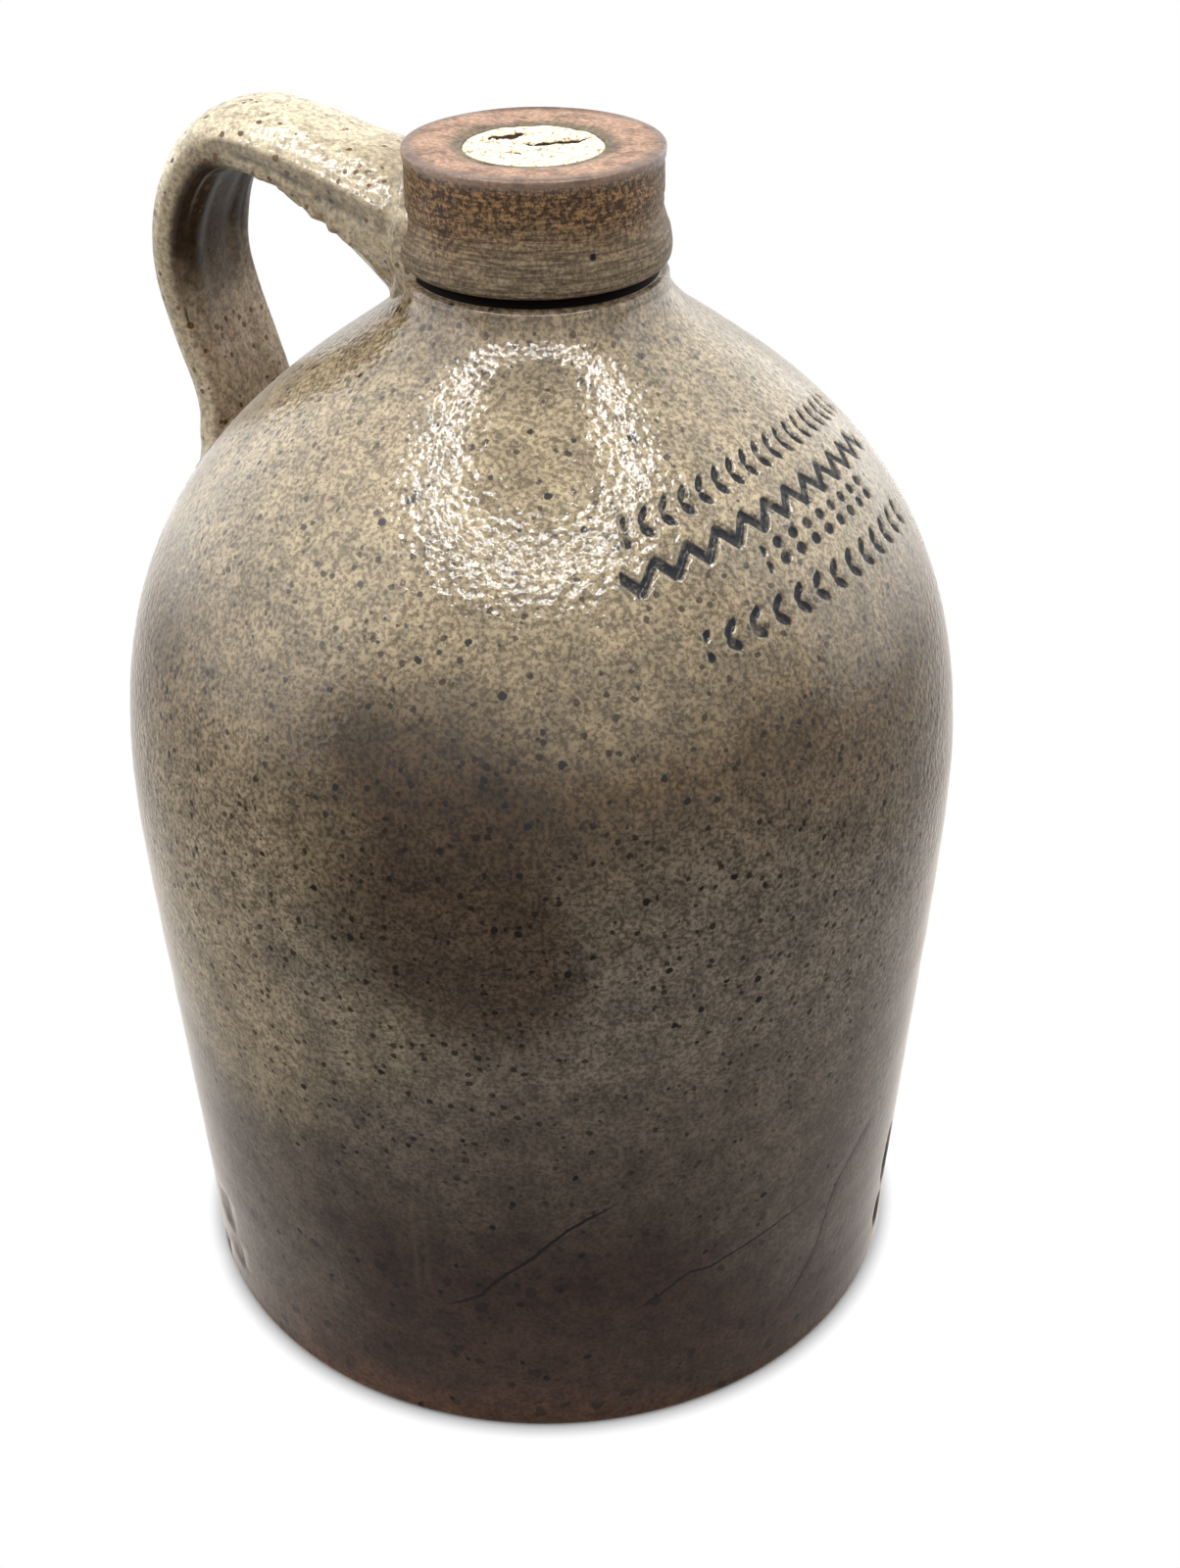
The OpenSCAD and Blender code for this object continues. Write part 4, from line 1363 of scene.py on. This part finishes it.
class JUG_OT_studio(Operator):
    """Lays the pale floor, and sets the ring lamp, side lights, white room and camera"""
    bl_idname = "jug.studio"
    bl_label = "Studio"

    def floor(self):
        """A round white floor that keeps the soft shadow under the jug."""
        bpy.ops.mesh.primitive_circle_add(vertices=FLOOR_CORNERS, radius=FLOOR_RADIUS,
                                          fill_type="NGON")
        floor = bpy.context.object
        floor.name = "floor"
        material = new_material("paper")
        tree = material.node_tree
        paper = tree.nodes["Principled BSDF"]
        paper.inputs["Base Color"].default_value = FLOOR_COLOUR
        paper.inputs["Roughness"].default_value = FLOOR_ROUGHNESS
        shade = tree.nodes.new("ShaderNodeAmbientOcclusion")
        shade.samples = SHADOW_SAMPLES
        shade.inputs["Distance"].default_value = SHADOW_REACH
        glow = tree.nodes.new("ShaderNodeEmission")
        tree.links.new(shade.outputs["Color"], glow.inputs["Color"])
        shader = white_when_seen(tree, paper.outputs[0], glow.outputs[0])
        tree.links.new(shader, tree.nodes["Material Output"].inputs["Surface"])
        floor.data.materials.append(material)
        return floor

    def ring_lamp(self, radiance):
        """A flat ring of light over the jug, facing down: (r cos a, r sin a) round it."""
        a = np.linspace(0, 2 * np.pi, RING_CORNERS, endpoint=False)
        middle = studio_point(RING_MIDDLE)
        rings = [np.stack([middle.x + r * np.cos(a), middle.y + r * np.sin(a),
                           np.full(RING_CORNERS, middle.z)], 1) for r in RING_RADII]
        lamp = mesh_piece("ring_lamp", np.vstack(rings), grid_faces(2, RING_CORNERS))
        material = new_material("ring lamp")
        tree = material.node_tree
        glow = tree.nodes.new("ShaderNodeEmission")
        glow.inputs["Strength"].default_value = radiance
        tree.links.new(glow.outputs[0], tree.nodes["Material Output"].inputs["Surface"])
        lamp.data.materials.append(material)
        return lamp

    def side_light(self, name, place, power):
        """A square soft light aimed at the middle of the jug."""
        lamp = bpy.data.lights.new(name, "AREA")
        lamp.shape = "SQUARE"
        lamp.size = SIDE_WIDTH
        lamp.energy = power
        light = bpy.data.objects.new(name, lamp)
        bpy.context.scene.collection.objects.link(light)
        aim = Vector(SIDE_AIM) - place
        light.matrix_world = (Matrix.Translation(place)
                              @ aim.to_track_quat("-Z", "Y").to_matrix().to_4x4())
        return light

    def room(self, fill):
        """A world that is white where it is seen, and dimmer as a source of light."""
        world = bpy.data.worlds.new("white room")
        world.use_nodes = True
        tree = world.node_tree
        dim = tree.nodes["Background"]
        dim.inputs["Color"].default_value = WHITE
        dim.inputs["Strength"].default_value = fill
        white = tree.nodes.new("ShaderNodeBackground")
        white.inputs["Color"].default_value = WHITE
        shader = white_when_seen(tree, dim.outputs[0], white.outputs[0])
        tree.links.new(shader, tree.nodes["World Output"].inputs["Surface"])
        bpy.context.scene.world = world

    def camera(self, lens):
        """The camera of the photograph, from the fit to the jug's outlines."""
        yaw, pitch, roll = (math.radians(v) for v in CAMERA_ANGLES)
        ahead = Vector((math.sin(yaw) * math.cos(pitch), math.cos(yaw) * math.cos(pitch),
                        -math.sin(pitch)))
        right = Vector((math.cos(yaw), -math.sin(yaw), 0))
        up = right.cross(ahead)
        x = math.cos(roll) * right + math.sin(roll) * up
        y = -math.sin(roll) * right + math.cos(roll) * up
        axes = Matrix((x, y, -ahead)).transposed().to_4x4()
        data = bpy.data.cameras.new("camera")
        data.sensor_width = SENSOR_WIDTH
        data.lens = lens
        data.clip_start = 0.01
        camera = bpy.data.objects.new("camera", data)
        bpy.context.scene.collection.objects.link(camera)
        camera.matrix_world = (Matrix.Rotation(STUDIO_TURN, 4, "Z")
                               @ Matrix.Translation(CAMERA_PLACE) @ axes)
        bpy.context.scene.camera = camera

    def execute(self, context):
        studio = context.scene.jug_studio
        floor = self.floor()
        lamp = self.ring_lamp(studio.ring)
        sides = [self.side_light(name, studio_point(place), studio.sides)
                 for name, place in SIDE_LIGHTS]
        self.room(studio.fill)
        self.camera(studio.lens)
        context.scene.view_settings.view_transform = "Standard"
        return {"FINISHED"}


class JUG_PT_build(Panel):
    """Lists the steps that build the jug"""
    bl_idname = "JUG_PT_build"
    bl_label = "Stoneware jug"
    bl_space_type = "VIEW_3D"
    bl_region_type = "UI"
    bl_category = "Jug"

    def draw(self, context):
        for step in OPERATORS:
            self.layout.operator(step.bl_idname)


SETTINGS = (("jug_body", JugBodySettings), ("jug_collar", CollarSettings),
            ("jug_strap", StrapSettings), ("jug_cork", CorkSettings),
            ("jug_studio", StudioSettings))
OPERATORS = (JUG_OT_body, JUG_OT_collar, JUG_OT_strap, JUG_OT_cork, JUG_OT_studio)
CLASSES = tuple(group for _, group in SETTINGS) + OPERATORS + (JUG_PT_build,)


def register():
    """Registers the classes, and puts the settings on the scene."""
    for cls in CLASSES:
        bpy.utils.register_class(cls)
    for name, group in SETTINGS:
        setattr(bpy.types.Scene, name, PointerProperty(type=group))


def unregister():
    """Takes back what register did."""
    for name, _ in SETTINGS:
        delattr(bpy.types.Scene, name)
    for cls in reversed(CLASSES):
        bpy.utils.unregister_class(cls)


def main():
    """Builds every piece in order."""
    register()
    for step in OPERATORS:
        group, name = step.bl_idname.split(".")
        getattr(getattr(bpy.ops, group), name)()


if __name__ == "__main__":
    main()
